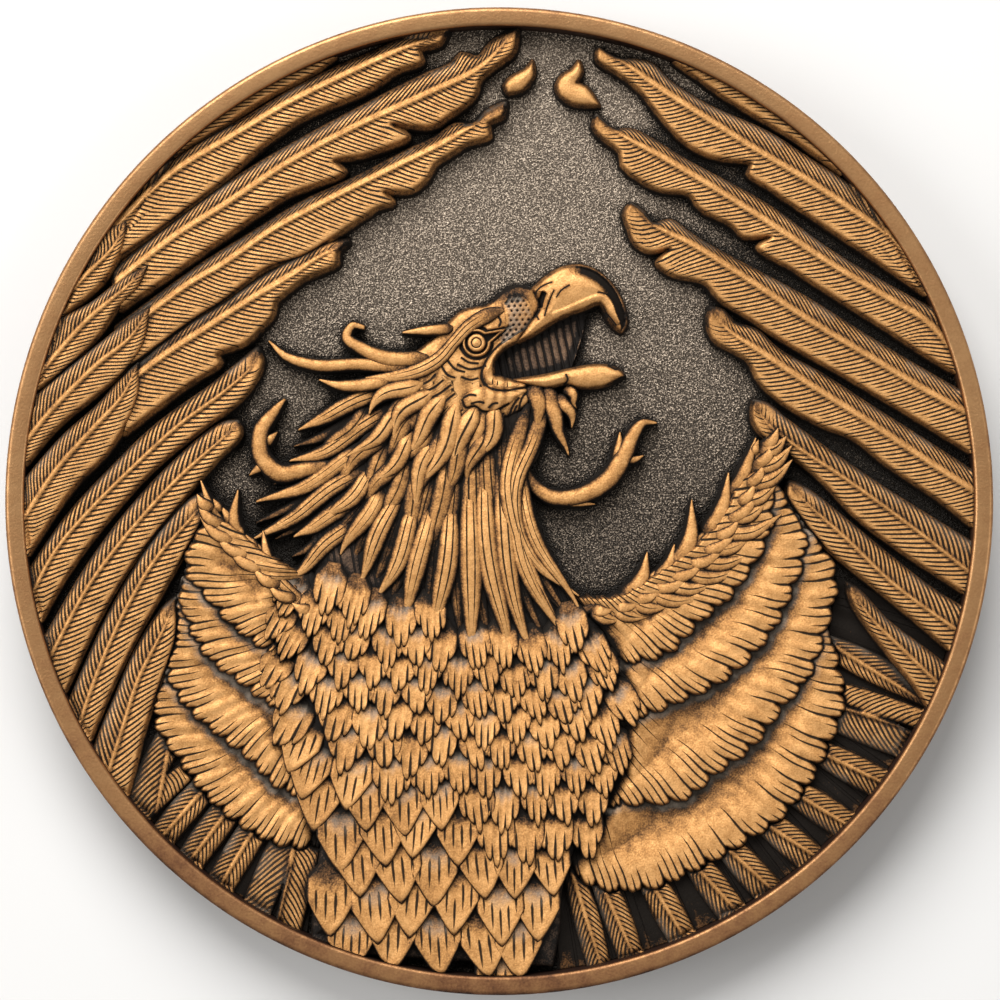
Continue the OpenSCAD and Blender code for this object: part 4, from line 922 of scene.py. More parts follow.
def build_torso():
    def sculpt(x, y, d):
        return body_height(d) - 0.05, marks_of(len(x), patina=0.75)
    piece("torso", [plate(top_loops("torso"), sculpt, flare=0.1)], "dark_relief")

    def neck(x, y, d):
        gu = (x + 0.35 * y + 0.2 * np.sin(y)) / 0.32
        cell = np.round(gu)
        gw = 0.2 * ease(0.3, 0.6, scatter(cell, 3) + 0.3 * np.sin(y * 1.4 + cell))
        return 0.62 + 0.3 * dome(d, 2.6), marks_of(len(x), gu, gw, 0.42)
    piece("neck", [plate(top_loops("neck"), neck, flare=0.1)], "dark_relief")


# The height below which a scale belongs to the belly
BELLY_Y = -15.6
# The line under the hackle tips where the scales begin
SCALE_TOP = [(-11, -4.2), (-8, -4.2), (-6, -5.2), (-4, -6), (-2, -7), (0, -7.6), (2, -7.2), (4, -5.6),
             (6, -5)]


def scale_size(x, y):
    """Chest scales are small, and they grow towards the lower left of the body."""
    return 1.42 + 0.72 * ease(0.0, 1.0, (-y - 9.5 - 0.6 * (x + 3)) / 9.0)


def scale(cx, cy, w, lean, lines, leaf, base, seed):
    """One overlapping scale: a hand of short fingers, or a pointed leaf."""
    nu, nv = ((21, 19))
    u, v = np.meshgrid(np.linspace(-1, 1, nu), np.linspace(0, 1, nv))
    half, length = w * 0.58, w * (1.80 if leaf else 1.95)
    gu = (u + 1) * lines / 2
    cell = np.round(gu)
    if leaf:
        reach = 1.0 - 0.50 * np.abs(u) ** 1.35
        start = 0.30 + 0.20 * scatter(cell, seed)
        gw = 0.13 * ease(start, start + 0.1, v) * ease(start + 0.50, start + 0.2, v) * (np.abs(u) < 0.72)
    else:
        lobes = np.abs(np.sin(math.pi * gu)) ** 0.6
        reach = 0.88 - 0.42 * np.abs(u) ** 1.35 + 0.13 * lobes * (0.4 + scatter(np.floor(gu), seed))
        start = 0.42 + 0.30 * scatter(cell, seed + 2)
        gw = 0.15 * ease(start, start + 0.3, v) * (np.abs(u) < 0.97)
    spread = 0.45 + 0.55 * ease(-0.05, 0.52, v)
    bend = 0.07 * w * (scatter(seed, 11) - 0.5) * v * v
    lx, ly = half * u * spread + bend, -length * reach * v
    c, s = math.cos(lean), math.sin(lean)
    x, y = cx + lx * c - ly * s, cy + lx * s + ly * c
    away = np.minimum((1 - np.abs(u)) * half, (1 - v) * length * reach)
    z = base - 0.16 + 0.44 * v + 0.08 * (1 - u ** 2) * ease(0.0, 0.4, v) - 0.12 * (1 - dome(away, 0.14))
    z += 0.02 * (scatter(seed, 12) - 0.5)
    shrink = np.minimum(1, (RIM_INNER - 0.03) / np.hypot(x, y))
    x, y = x * shrink, y * shrink
    co = np.column_stack([x.ravel(), y.ravel(), FIELD + z.ravel()])
    index = np.arange(nu * nv).reshape(nv, nu)
    faces = np.stack([index[:-1, :-1], index[1:, :-1], index[1:, 1:], index[:-1, 1:]], -1).reshape(-1, 4)
    # Darker over the upper half, where the scale above casts its shadow, and along the outline: painted
    # shadow and patina.
    patina = 0.10 + 0.14 * scatter(seed, 5) + 0.45 * ease(0.50, 0.24, v) + 0.75 * ease(0.12, 0.0, away)
    patina += 0.12 * ease(0.3, 0.9, np.abs(u))
    # A band of painted highlight across some scales, near where the scale above ends.
    band = 0.45 * ease(0.22, 0.34, v) * ease(0.56, 0.40, v)
    painted_glint = band * ease(0.9, 0.4, np.abs(u)) * (scatter(seed, 9) > 0.5)
    marks = marks_of(len(co), gu.ravel(), gw.ravel(), patina.ravel(), np.ravel(painted_glint))
    return Sheet(co, faces, marks, FIELD + base - 0.4, 0.03)


def build_scales():
    outline = top_loops("torso") + top_loops("neck")
    body = [loop for loop in outline if len(loop) > 20]
    lo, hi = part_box("torso")
    top_x, top_y = np.array(SCALE_TOP).T
    middle = (lo.x + hi.x) / 2 / MM + 0.3
    chest, belly = [], []
    y, row = -2.4, 0
    while y > lo.y / MM:
        for direction in (-1, 1):
            q, x = (row % 2) / 2, middle
            steps = 0.0
            goal = q if direction > 0 else 1 - q
            while abs(x - middle) < 12:
                if steps >= goal:
                    goal += 1
                    level = y - 0.04 * (x - middle) + 0.20 * math.sin(x * 2.1 + row)
                    level += 0.34 * (float(scatter(row * 17 + round(x * 3), 8)) - 0.5)
                    shift = 0.22 * (float(scatter(row * 13 + round(x * 3), 9)) - 0.5)
                    place(x + shift, level, row, body, top_x, top_y, middle, chest, belly)
                x += direction * 0.02
                steps += 0.02 / scale_size(x, y)
        y -= 0.88 * scale_size(middle, y)
        row += 1
    piece("chest_scales", chest, "copper_relief")
    piece("belly_scales", belly, "copper_relief")


def place(x, y, row, body, top_x, top_y, middle, chest, belly):
    w = float(scale_size(x, y))
    centre = np.array([[x, y - 0.6 * w]])
    d, inside = torso_distance(body, centre)
    if not inside[0] or y - 0.75 * w > np.interp(x, top_x, top_y) + 0.6:
        return
    if math.hypot(x, y) > RIM_INNER - 0.5:
        return
    seed = row * 31 + int((x + 20) * 7)
    edge = float(ease(2.4, 0.2, d[0])) * (-1 if x < middle else 1)
    fan = 0.035 * (x - middle) * float(ease(-20, -5, y))
    lean = 0.03 + fan + 0.25 * edge * float(ease(-15, -9, y)) + 0.20 * (scatter(seed, 1) - 0.5)
    leaf = w > 1.82 + 0.25 * (scatter(seed, 4) - 0.5)
    base = float(body_height(d)[0]) + 0.05
    lines = 4 + int(scatter(seed, 6) > 0.5) + int(bool(leaf))
    made = scale(x, y, w * 1.02, float(lean), lines, bool(leaf), base, seed)
    (belly if y < BELLY_Y else chest).append(made)


def torso_distance(body, points):
    """Distance to the body's own edge, ignoring the joint between the torso and the neck."""
    d, foot, _ = nearest(body[:1], points)
    inside = np.zeros(len(points), bool)
    for loop in body:
        inside |= nearest([loop], points)[2]
    joint = np.array([nearest([loop], foot)[0] for loop in body[1:]])
    on_joint = (joint < 0.05).any(0) if len(joint) else np.zeros(len(points), bool)
    return np.where(on_joint, 3.0, d), inside


# ------------------------------------------------------------------ head

LIP = [(2.75, 9.35), (1.9, 8.95), (0.8, 8.3), (0.1, 7.75), (-0.35, 7.0), (-0.55, 6.45), (-0.2, 6.1),
       (0.5, 5.98), (1.2, 6.05), (2.2, 6.25), (3.2, 6.2)]
EYE = (-1.21, 8.11)
EYE_CORNER = (-0.15, 8.62)
EYE_R = 0.47
IRIS_R = 0.25
BROW = [(0.2, 9.85, 0.30), (-0.6, 9.55, 0.40), (-1.6, 8.95, 0.36), (-2.4, 8.1, 0.32), (-3.1, 7.3, 0.38),
        (-4.0, 6.75, 0.40), (-5.2, 6.4, 0.34), (-6.9, 6.2, 0.16)]
CHEEK_PATCH = [(0.15, 10.2), (0.35, 9.2), (-0.05, 8.35), (0.15, 7.95), (1.0, 8.6), (1.65, 9.1),
               (1.62, 9.9), (1.25, 10.45), (0.6, 10.55)]
TUFT = [(-1.95, 5.2), (-1.75, 4.78), (-1.3, 4.85), (-0.9, 4.6), (-0.35, 4.55), (0.05, 4.75), (0.5, 5.0),
        (0.9, 5.35), (1.5, 5.7), (0.6, 5.75), (-0.3, 5.95), (-1.2, 5.75), (-1.7, 5.5)]
# Short cuts on the head: lids, lashes, cheek and jaw
CUTS = [
    [(-1.95, 5.2), (-1.75, 4.78), (-1.3, 4.85), (-0.9, 4.6), (-0.35, 4.55), (0.05, 4.75), (0.5, 5.0)],
    [(-1.9, 5.25), (-1.55, 5.42), (-1.2, 5.38)], [(-1.5, 4.95), (-1.1, 5.05), (-0.8, 5.0)],
    [(-0.6, 4.75), (-0.35, 4.95), (-0.1, 5.0)], [(0.3, 10.1), (0.45, 10.35), (0.55, 10.6)],
    [(0.6, 10.2), (0.72, 10.42), (0.8, 10.6)], [(0.85, 10.2), (0.95, 10.35), (1.05, 10.5)],
    [(2.6, 9.45), (1.8, 9.12), (0.7, 8.5), (-0.15, 7.9), (-0.7, 7.2), (-0.95, 6.3), (-0.55, 5.8),
     (0.2, 5.65), (1.2, 5.8), (2.2, 6.0), (3.3, 5.85)],
    [(-0.1, 9.5), (0.05, 9.2), (-0.05, 8.95)], [(-2.0, 7.35), (-1.6, 7.1), (-1.1, 7.05)],
    [(-2.2, 7.0), (-1.6, 6.75), (-1.1, 6.8), (-0.7, 6.95)], [(-2.7, 7.2), (-2.3, 6.75), (-1.8, 6.6)],
    [(-3.0, 6.9), (-2.7, 6.45), (-2.3, 6.3)], [(-2.0, 6.35), (-1.5, 6.2), (-1.1, 6.3)],
    [(-1.6, 7.4), (-1.3, 7.3), (-1.0, 7.3)], [(-3.3, 6.5), (-3.7, 6.1), (-4.3, 5.9)],
    [(-2.9, 6.2), (-3.4, 5.8), (-4.1, 5.5)], [(-2.5, 5.95), (-3.1, 5.5), (-3.7, 5.2)],
    [(-2.3, 5.5), (-2.8, 5.1), (-3.2, 4.7)], [(-4.2, 6.15), (-4.8, 5.9), (-5.4, 5.7)],
    [(-3.5, 5.3), (-3.9, 4.9), (-4.2, 4.5)], [(1.5, 5.65), (1.2, 5.35), (1.05, 5.0), (1.0, 4.7)],
    [(2.0, 5.75), (1.7, 5.4), (1.5, 5.0), (1.4, 4.7)], [(1.0, 5.3), (0.7, 4.9), (0.5, 4.4)],
    [(2.4, 5.85), (2.1, 5.5), (1.9, 5.2)], [(0.9, 4.9), (0.75, 4.6), (0.7, 4.3)],
    [(2.9, 5.9), (2.5, 5.6), (2.3, 5.3)], [(1.3, 4.6), (0.9, 4.2), (0.4, 3.9)],
    [(0.2, 4.5), (-0.1, 4.1), (-0.3, 3.6)], [(3.3, 6.0), (3.0, 5.8), (2.8, 5.5)],
]


def line_distance(lines, x, y):
    """Distance to the nearest of some open lines, stopping at their ends."""
    best = np.full(len(x), 9.0)
    for points in lines:
        line = rounded(np.array(points)[:, :2], 0.1)
        s, _, d = along(line, x, y)
        total = np.linalg.norm(np.diff(line, axis=0), axis=1).sum()
        past = np.maximum(np.maximum(-s, s - total), 0)
        best = np.minimum(best, d + 3 * past)
    return best


def cut(d, half):
    """Marks for one engraved line at distance d."""
    return np.clip(d / (4 * half), 0, 0.5), np.full(len(d), 0.25)


def head_sculpt(x, y, d):
    height = 0.72 + 0.42 * dome(d, 1.5) + 0.05 * np.sin(x * 1.9) * np.sin(y * 2.1)
    lip = line_distance([LIP], x, y)
    height += 0.16 * ease(0.30, 0.12, lip)
    ex, ey = x - EYE[0], y - EYE[1]
    r = np.hypot(ex, ey)
    toward = np.array(EYE_CORNER) - EYE
    point = (ex * toward[0] + ey * toward[1]) / np.hypot(*toward)
    aside = np.abs(ex * toward[1] - ey * toward[0]) / np.hypot(*toward)
    lids = np.minimum(r, np.where(point > 0.35, aside * 1.55 + 0.42 * point, r))
    ball = 0.12 * np.exp(-(r / 0.46) ** 6) + 0.10 * np.exp(-(r / 0.23) ** 4)
    height += ball + 0.10 * np.exp(-((lids - 0.64) / 0.09) ** 2) - 0.18 * ease(0.66, 0.5, lids)
    height -= 0.12 * ease(0.98, 0.78, lids) * ease(0.66, 0.76, lids)
    tuft_d, _, in_tuft = nearest([rounded(TUFT + TUFT[:1], 0.1)], np.stack([x, y], 1))
    height += np.where(in_tuft, 0.05 + 0.13 * dome(tuft_d, 0.4), 0)
    patch_d, _, in_patch = nearest([rounded(CHEEK_PATCH + CHEEK_PATCH[:1], 0.1)], np.stack([x, y], 1))
    stipple = np.where(in_patch, ease(0.0, 0.2, patch_d), 0.0)
    u, v = (x * 0.86 + y * 0.5) / 0.27, (y * 0.86 - x * 0.5) / 0.27
    v = v + 0.5 * np.mod(np.round(u), 2)
    spot = np.hypot(u - np.round(u), (v - np.round(v)))
    height -= stipple * (0.03 + 0.05 * ease(0.34, 0.15, spot))
    height -= 0.10 * ease(0.20, 0.0, np.abs(lip - 0.42)) * ease(0.3, 0.6, d)
    lines = line_distance(CUTS, x, y)
    ring = np.minimum(np.abs(r - 0.50), np.abs(r - IRIS_R) + 0.02)
    ring = np.minimum(ring, np.abs(lids - 0.80))
    lines = np.minimum(lines, ring)
    flow = (x * 0.86 - y * 0.45 + 0.25 * np.sin(y * 2.2) + 0.2 * np.sin(x * 1.7)) / 0.30
    strokes = ease(0.45, 0.75, scatter(np.round(flow), 7) + 0.42 * np.sin(y * 3.1 + 2.4 * np.round(flow)))
    zone = ease(6.5, 5.9, y) * ease(1.2, -0.6, x) * (1 - in_tuft) * ease(0.3, 0.7, lids)
    gu, gw = cut(lines, 0.055)
    use_flow = (lines > 0.16) & (zone > 0.05)
    gu = np.where(use_flow, flow, gu)
    gw = np.where(use_flow, 0.17 * strokes * zone, np.where(lines < 0.22, gw, 0))
    patina = 0.12 + 0.5 * ease(0.16, 0.0, d) + 0.34 * ease(0.16, 0.0, lines)
    patina += 0.16 * np.sin(flow * 3.1) * ease(7.4, 6.4, y) + 0.5 * ease(9.8, 10.7, y) * ease(2.0, 1.2, x)
    patina += 0.45 * ease(0.62, 0.52, lids) * ease(0.44, 0.52, r)
    patina += 0.5 * ease(0.12, 0.0, np.abs(lids - 0.82))
    patina += 0.55 * stipple * ease(0.36, 0.14, spot) + 0.12 * stipple
    # Painted highlight between the stipple dots.
    painted_glint = 0.55 * stipple * ease(0.2, 0.4, spot)
    patina = np.where(in_patch, patina, patina + 0.30 * ease(0.24, 0.0, patch_d) * ease(0.2, 0.6, d))
    return height, marks_of(len(x), gu, gw, patina, painted_glint)


NOSTRIL = [(2.28, 10.72), (2.16, 10.4), (2.05, 9.98)]
CERE_CUTS = [
    [(2.72, 11.25), (2.40, 11.15), (1.95, 10.85), (1.75, 10.35), (1.80, 9.8), (2.0, 9.3)],
    [(2.80, 10.85), (2.6, 10.4), (2.42, 9.9), (2.3, 9.5)], [(2.9, 10.45), (3.2, 10.85), (3.6, 11.1)],
]
GAPE_RIDGE = [(2.8, 9.45), (3.6, 9.75), (4.5, 10.15), (5.2, 10.35), (5.8, 9.85), (6.3, 9.25)]


def upper_beak_sculpt(loops):
    def sculpt(x, y, d):
        _, foot, _ = nearest(loops, np.stack([x, y], 1))
        out = (foot - np.stack([x, y], 1)) / np.maximum(d, 0.02)[:, None]
        outer = ease(0.0, 0.75, out @ np.array([0.86, 0.5])) * ease(3.0, 4.6, x)
        height = 0.86 + 0.42 * dome(d, 1.3) - 0.30 * outer * ease(0.75, 0.1, d)
        ridge = line_distance([GAPE_RIDGE], x, y)
        height += 0.10 * ease(0.34, 0.12, ridge) * (1 - outer)
        hole = line_distance([NOSTRIL], x, y)
        lines = np.minimum(line_distance(CERE_CUTS, x, y), np.abs(ridge - 0.36) + 0.3 * (x < 5.0))
        height -= 0.22 * ease(0.20, 0.05, hole) - 0.10 * ease(0.14, 0.0, np.abs(hole - 0.30))
        gu, gw = cut(lines, 0.04)
        gw = np.where(lines < 0.2, gw, 0)
        # Painted shade on the side that slopes away to the upper right, the beak's dark side.
        patina = 0.10 + 0.45 * ease(0.14, 0.0, d) + 0.95 * outer * ease(0.62, 0.32, d)
        patina += ease(0.17, 0.11, hole)
        patina += 0.3 * ease(0.2, 0.0, lines)
        return height, marks_of(len(x), gu, gw, patina)
    return sculpt


JAW_CUTS = [
    [(3.4, 6.5), (3.5, 6.2), (3.3, 5.95)], [(5.6, 6.95), (6.0, 6.75), (6.2, 6.85), (6.3, 6.7)],
]


def lower_beak_sculpt(x, y, d):
    height = 0.80 + 0.36 * dome(d, 0.55)
    lines = line_distance(JAW_CUTS, x, y)
    gu, gw = cut(lines, 0.05)
    under = ease(6.35, 5.9, y - 0.25 * (x - 5.0)) * ease(5.4, 6.2, x)
    # Darker on the lower side of the jaw towards its tip: painted shade.
    patina = 0.10 + 0.5 * ease(0.14, 0.0, d) + 0.5 * under + 0.3 * ease(0.2, 0.0, lines)
    return height, marks_of(len(x), gu, np.where(lines < 0.2, gw, 0), patina)


def mouth_sculpt(x, y, d):
    edge = line_distance([[(4.9, 9.9), (4.35, 8.6), (3.95, 7.2), (3.95, 6.8)]], x, y)
    height = 0.2 + 0.04 * np.cos(2 * math.pi * (x + 0.22 * y) / 0.42) + 0.25 * ease(0.14, 0.05, edge)
    # Darker near the outline, where the beaks overhang, lighter along the inner lip: patina and painted
    # shade.
    patina = 0.36 + 0.6 * ease(0.5, 0.25, d)
    patina = np.where(edge < 0.1, 0.25, patina)
    return height, marks_of(len(x), (x + 0.22 * y) / 0.42 + 0.5, 0.15, patina=patina)


def build_head():
    fine = 0.045
    piece("head", [plate(top_loops("head"), head_sculpt, flare=0.12, cell=fine)], "copper_relief")
    beak = top_loops("upper_beak")
    piece("upper_beak", [plate(beak, upper_beak_sculpt(beak), flare=0.2, cell=fine)], "copper_relief")
    jaw = top_loops("lower_beak")
    piece("lower_beak", [plate(jaw, lower_beak_sculpt, flare=0.12, cell=fine)], "copper_relief")
    piece("mouth", [plate(top_loops("mouth"), mouth_sculpt, flare=0.0, cell=fine)], "dark_relief")
    piece("brow", [strand(BROW, 1.12, 1.16, crown=0.42, lines=2, flare=0.05)], "copper_relief")
    turn = np.linspace(0, 2 * math.pi, 49)[:-1]
    ring = [np.stack([EYE[0] + EYE_R * np.cos(turn), EYE[1] + EYE_R * np.sin(turn)], 1)]

    def ball(x, y, d):
        r = np.hypot(x - EYE[0], y - EYE[1])
        height = 1.14 + 0.12 * dome(d, 0.2) + 0.05 * ease(0.2, 0.05, r)
        height -= 0.06 * ease(0.06, 0.0, np.abs(r - IRIS_R))
        gu, gw = cut(np.abs(r - IRIS_R), 0.03)
        return height, marks_of(len(x), gu, gw, 0.03 + 0.6 * ease(0.08, 0.0, d))
    piece("eye", [plate(ring, ball, flare=0.03, cell=fine * 0.7)], "copper_relief")


# ------------------------------------------------------------------ planchet, rims and reverse

class Skin:
    """A mesh with marks whose shape is given as it is."""

    def __init__(self, co, faces, marks, uv):
        self.co, self.faces, self.marks, self.uv = co, faces, marks, uv
        self.tops = len(co)


def lathe(profile, marks_at, turns=720):
    """A closed ring turned from a profile of radius and height."""
    profile = np.array(profile, float)
    n = len(profile)
    angle = np.arange(turns) * 2 * math.pi / turns
    co = np.stack([
        profile[None, :, 0] * np.cos(angle)[:, None],
        profile[None, :, 0] * np.sin(angle)[:, None],
        np.broadcast_to(profile[None, :, 1], (turns, n)),
    ], -1).reshape(-1, 3)
    index = np.arange(turns * n).reshape(turns, n)
    right = np.roll(index, -1, axis=0)
    up, up_right = np.roll(index, -1, axis=1), np.roll(right, -1, axis=1)
    faces = np.stack([index, right, up_right, up], -1).reshape(-1, 4)
    around, across = np.meshgrid(np.arange(turns) / turns, np.arange(n) / n, indexing="ij")
    share = np.stack([around, across], -1).reshape(-1, 2)
    return Skin(co, faces, marks_at(co), share)


def rim_profile(low, high, inner, bevel):
    """Counter-clockwise from the inner foot: floor, outer wall, bevel, flat top, inner wall."""
    soft = 0.03
    top = COIN_R - bevel
    return [
        (inner, low), (inner + soft, low), (COIN_R - soft, low), (COIN_R, low + soft),
        (COIN_R, high - bevel * 0.85),
        (COIN_R - 0.05, high - bevel * 0.62), (top + 0.05, high - soft), (top, high), (top - 0.1, high),
        (inner + 0.18, high), (inner + 0.08, high - 0.02), (inner + 0.02, high - 0.09),
        (inner, high - 0.2),
    ]


def build_rims():
    bevel = 0.14

    def marks(co):
        r, z = np.hypot(co[:, 0], co[:, 1]), co[:, 2]
        inner = r.min()
        # Painted shade: dark down the inner wall, darker on the outer bevel and darker towards the bottom
        # of the coin.
        patina = 0.9 * ease(inner + 0.05, inner, r) * ease(RIM - 0.03, RIM - 0.25, z)
        patina += 0.30 * ease(COIN_R - bevel - 0.02, COIN_R, r) + 0.40 * ease(-6, -25, co[:, 1])
        return marks_of(len(co), patina=patina)

    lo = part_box("obverse_rim")[0].z / MM
    inner = RIM_INNER
    piece("obverse_rim", [lathe(rim_profile(lo, RIM, inner, bevel), marks)], "brushed_rim")
    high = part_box("reverse_rim")[1].z / MM
    profile = [(r, high - z) for r, z in rim_profile(0.0, high, inner, min(bevel, high * 0.6))]
    piece("reverse_rim", [lathe(profile[::-1], lambda co: marks_of(len(co), patina=0.25))], "brushed_rim")


def flipped(sheet, base):
    """The sheet turned over so that it hangs below base."""
    sheet.co = sheet.co.copy()
    sheet.co[:, 2] = base - (sheet.co[:, 2] - FIELD)
    triangle = sheet.faces[:, 2] == sheet.faces[:, 3]
    turned = sheet.faces[:, ::-1].copy()
    turned[triangle] = sheet.faces[triangle][:, [2, 1, 0, 0]]
    sheet.faces = turned
    return sheet


def disc(radius, cell, z, marks_at, down=False):
    """A flat round face on a square grid with its rim on the circle."""
    n = int(2 * radius / cell) | 1
    line = np.linspace(-1, 1, n)
    u, v = np.meshgrid(line, line)
    u, v = u.ravel(), v.ravel()
    square, r = np.maximum(np.abs(u), np.abs(v)), np.maximum(np.hypot(u, v), 1e-9)
    blend = square ** 3
    scale_to = (1 - blend) + blend * square / r
    x, y = u * scale_to * radius, v * scale_to * radius
    index = np.arange(n * n).reshape(n, n)
    faces = np.stack([index[:-1, :-1], index[:-1, 1:], index[1:, 1:], index[1:, :-1]], -1).reshape(-1, 4)
    if down:
        faces = faces[:, ::-1]
    co = np.column_stack([x, y, np.full(len(x), z)])
    return Skin(co, faces, marks_at(x, y), np.stack([u, v], 1) / 2 + 0.5)


def build_planchet():
    low, high = (corner.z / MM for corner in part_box("planchet"))
    wall = lathe([(COIN_R, low), (COIN_R, high), (RIM_INNER, high), (RIM_INNER, low)],
                 lambda co: marks_of(len(co), patina=0.35))
    cell = 0.17
    top = disc(RIM_INNER, cell, high, lambda x, y: marks_of(len(x), patina=field_shade(x, y)))
    bottom = disc(RIM_INNER, 0.8, low, lambda x, y: marks_of(len(x), patina=0.3), down=True)
    piece("planchet", [top, bottom, wall], "sandblasted_field")


BLADES = 36


def build_reverse():
    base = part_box("planchet")[0].z / MM
    boss_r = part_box("reverse_boss")[1].x / MM
    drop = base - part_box("reverse_boss")[0].z / MM
    turn = np.linspace(0, 2 * math.pi, 181)[:-1]
    ring = [np.stack([boss_r * np.cos(turn), boss_r * np.sin(turn)], 1)]

    def boss(x, y, d):
        height = drop - 0.02 - 0.12 * (1 - dome(d, 0.5)) + 0.02 * np.sin(d * 2.0)
        return height, marks_of(len(x), patina=0.1 + 0.5 * ease(0.3, 0.0, d))
    piece("reverse_boss", [flipped(plate(ring, boss, cell=0.4, flare=0.0), base)], "reverse_relief")
    lo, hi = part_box("reverse_feather_ring")
    inner, outer = boss_r + 1.2, hi.y / MM
    shape = [(inner, 0.5), ((inner + outer) / 2, 0.9), (outer - 1.5, 1.15), (outer - 0.05, 0.1)]
    blades = []
    rise = base - lo.z / MM
    for k in range(BLADES):
        angle = 2 * math.pi * k / BLADES
        c, s = math.cos(angle), math.sin(angle)
        points = [(-r * s, r * c, w) for r, w in shape]
        blade = strand(points, rise * 0.55, rise * 0.75, crown=0.08, lines=4, flare=0.0)
        blades.append(flipped(blade, base))
    piece("reverse_feather_ring", blades, "reverse_relief")


# ------------------------------------------------------------------ patina and painted shade in the hollows

class HeightMap:
    """The highest relief point in each small square of the obverse, and blurred copies of that map."""

    def __init__(self):
        self.n = int(2 * COIN_R / RASTER) + 1
        self.top = np.zeros((self.n, self.n))
        for sheets in SHEETS.values():
            for sheet in sheets:
                i, j = self.square(sheet.co[:sheet.tops, 0], sheet.co[:sheet.tops, 1])
                np.maximum.at(self.top, (j, i), sheet.co[:sheet.tops, 2] - FIELD)
        self.wide = self.blurred(self.top, 0.60)
        self.close = self.blurred(self.top, 0.22)
        self.cover = self.blurred((self.top > 0.05).astype(float), 0.30)
        self.crowd = self.blurred((self.top > 0.05).astype(float), 1.1)

    def square(self, x, y):
        i = np.clip(((x + COIN_R) / RASTER).astype(int), 0, self.n - 1)
        j = np.clip(((y + COIN_R) / RASTER).astype(int), 0, self.n - 1)
        return i, j

    def blurred(self, image, sigma):
        frequency = np.fft.fftfreq(self.n, RASTER)
        decay = np.exp(-2 * (math.pi * sigma * frequency) ** 2)
        return np.fft.ifft2(np.fft.fft2(image) * decay[:, None] * decay[None]).real

    def read(self, image, x, y):
        fx = np.clip((x + COIN_R) / RASTER - 0.5, 0, self.n - 1.001)
        fy = np.clip((y + COIN_R) / RASTER - 0.5, 0, self.n - 1.001)
        i, j = fx.astype(int), fy.astype(int)
        u, v = fx - i, fy - j
        low = image[j, i] * (1 - u) + image[j, i + 1] * u
        high = image[j + 1, i] * (1 - u) + image[j + 1, i + 1] * u
        return low * (1 - v) + high * v


def field_shade(x, y):
    """Patina and painted shade on the field: dark close to the relief and to the rim, and darker between
    crowded feathers.
    """
    near_relief = MAP.read(MAP.cover, x, y)
    # Painted shade between crowded feathers and beside the rim wall; the dark halo by the relief is patina
    # and painted shade.
    between_feathers = ease(0.42, 0.68, MAP.read(MAP.crowd, x, y))
    near_rim = ease(RIM_INNER - 0.7, RIM_INNER - 0.1, np.hypot(x, y))
    return 0.95 * ease(0.06, 0.55, near_relief) + 0.35 * near_rim + 0.7 * between_feathers


def add_patina_and_shade():
    for node, sheets in SHEETS.items():
        if MATERIAL_OF[node] not in ("copper_relief", "dark_relief"):
            continue
        for sheet in sheets:
            co = sheet.co[:sheet.tops]
            rise = co[:, 2] - FIELD
            wide = MAP.read(MAP.wide, co[:, 0], co[:, 1]) - rise
            close = MAP.read(MAP.close, co[:, 0], co[:, 1]) - rise
            # Darker the deeper a point lies below the relief around it: patina and painted shade in hollows
            # and between overlapping pieces.
            hollow_patina_and_shade = 1.6 * np.clip(wide - 0.02, 0, 0.6) + 2.2 * np.clip(close - 0.02, 0, 0.4)
            sheet.marks[:sheet.tops, 2] += hollow_patina_and_shade


# ------------------------------------------------------------------ all pieces

make_materials()
build_feathers()
build_rows()
build_secondaries()
build_ribbons()
build_torso()
build_scales()
build_head()
MAP = HeightMap()
add_patina_and_shade()
build_rims()
build_planchet()
build_reverse()
for node, sheets in SHEETS.items():
    write_piece(node, sheets, MATERIAL_OF[node])


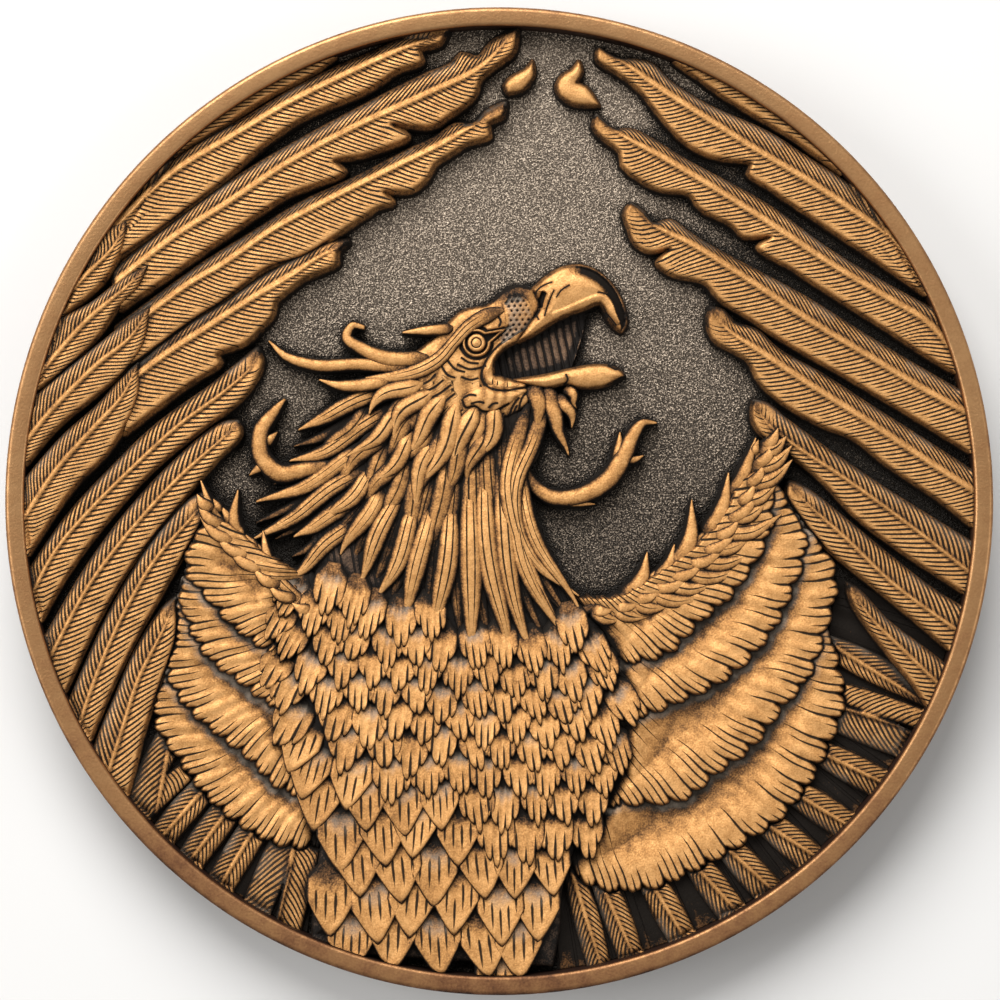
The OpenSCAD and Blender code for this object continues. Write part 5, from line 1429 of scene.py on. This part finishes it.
# ------------------------------------------------------------------ floor, light and camera

def floor():
    mesh = bpy.data.meshes.new("studio_floor")
    half = 6.0
    corners = [(-half, -half, 0), (half, -half, 0), (half, half, 0), (-half, half, 0)]
    mesh.from_pydata(corners, [], [(0, 1, 2, 3)])
    obj = bpy.data.objects.new("studio_floor", mesh)
    bpy.context.scene.collection.objects.link(obj)
    n = Nodes("pale_paper")
    n.put(n.ramp(n.noise(40.0, 2), [(0.0, (0.72, 0.71, 0.69)), (1.0, (0.78, 0.77, 0.76))]),
          n.shader.inputs["Base Color"])
    n.shader.inputs["Roughness"].default_value = 0.9
    mesh.materials.append(n.mat)


def light(name, where, size, watts, colour=(1, 1, 1)):
    data = bpy.data.lights.new(name, "AREA")
    data.shape = "DISK"
    data.size = size
    data.energy = watts
    data.color = colour
    obj = bpy.data.objects.new(name, data)
    obj.location = where
    obj.rotation_euler = (-Vector(where)).to_track_quat("-Z", "Y").to_euler()
    bpy.context.scene.collection.objects.link(obj)


def studio():
    world = bpy.data.worlds.new("studio")
    world.use_nodes = True
    sky = world.node_tree.nodes["Background"]
    sky.inputs["Color"].default_value = (1.0, 0.985, 0.965, 1)
    sky.inputs["Strength"].default_value = 0.27
    bpy.context.scene.world = world
    bpy.context.scene.view_settings.view_transform = "Standard"
    light("top_soft", (-0.08, 0.28, 0.26), 0.30, 1.9)
    light("left_soft", (-0.30, 0.03, 0.22), 0.24, 0.6)
    light("right_soft", (0.28, -0.08, 0.25), 0.24, 0.3)


def camera():
    """Straight above the coin, a touch to its lower left, which shows the wall there."""
    data = bpy.data.cameras.new("camera")
    data.lens = 126
    data.sensor_width = 36
    obj = bpy.data.objects.new("camera", data)
    obj.location = (-0.002, -0.003, 0.1838)
    back = (obj.location - Vector((0, 0, RIM * MM))).normalized()
    right = Vector((0, 1, 0)).cross(back).normalized()
    obj.rotation_euler = Matrix((right, back.cross(right), back)).transposed().to_euler()
    bpy.context.scene.collection.objects.link(obj)
    bpy.context.scene.camera = obj


floor()
studio()
camera()
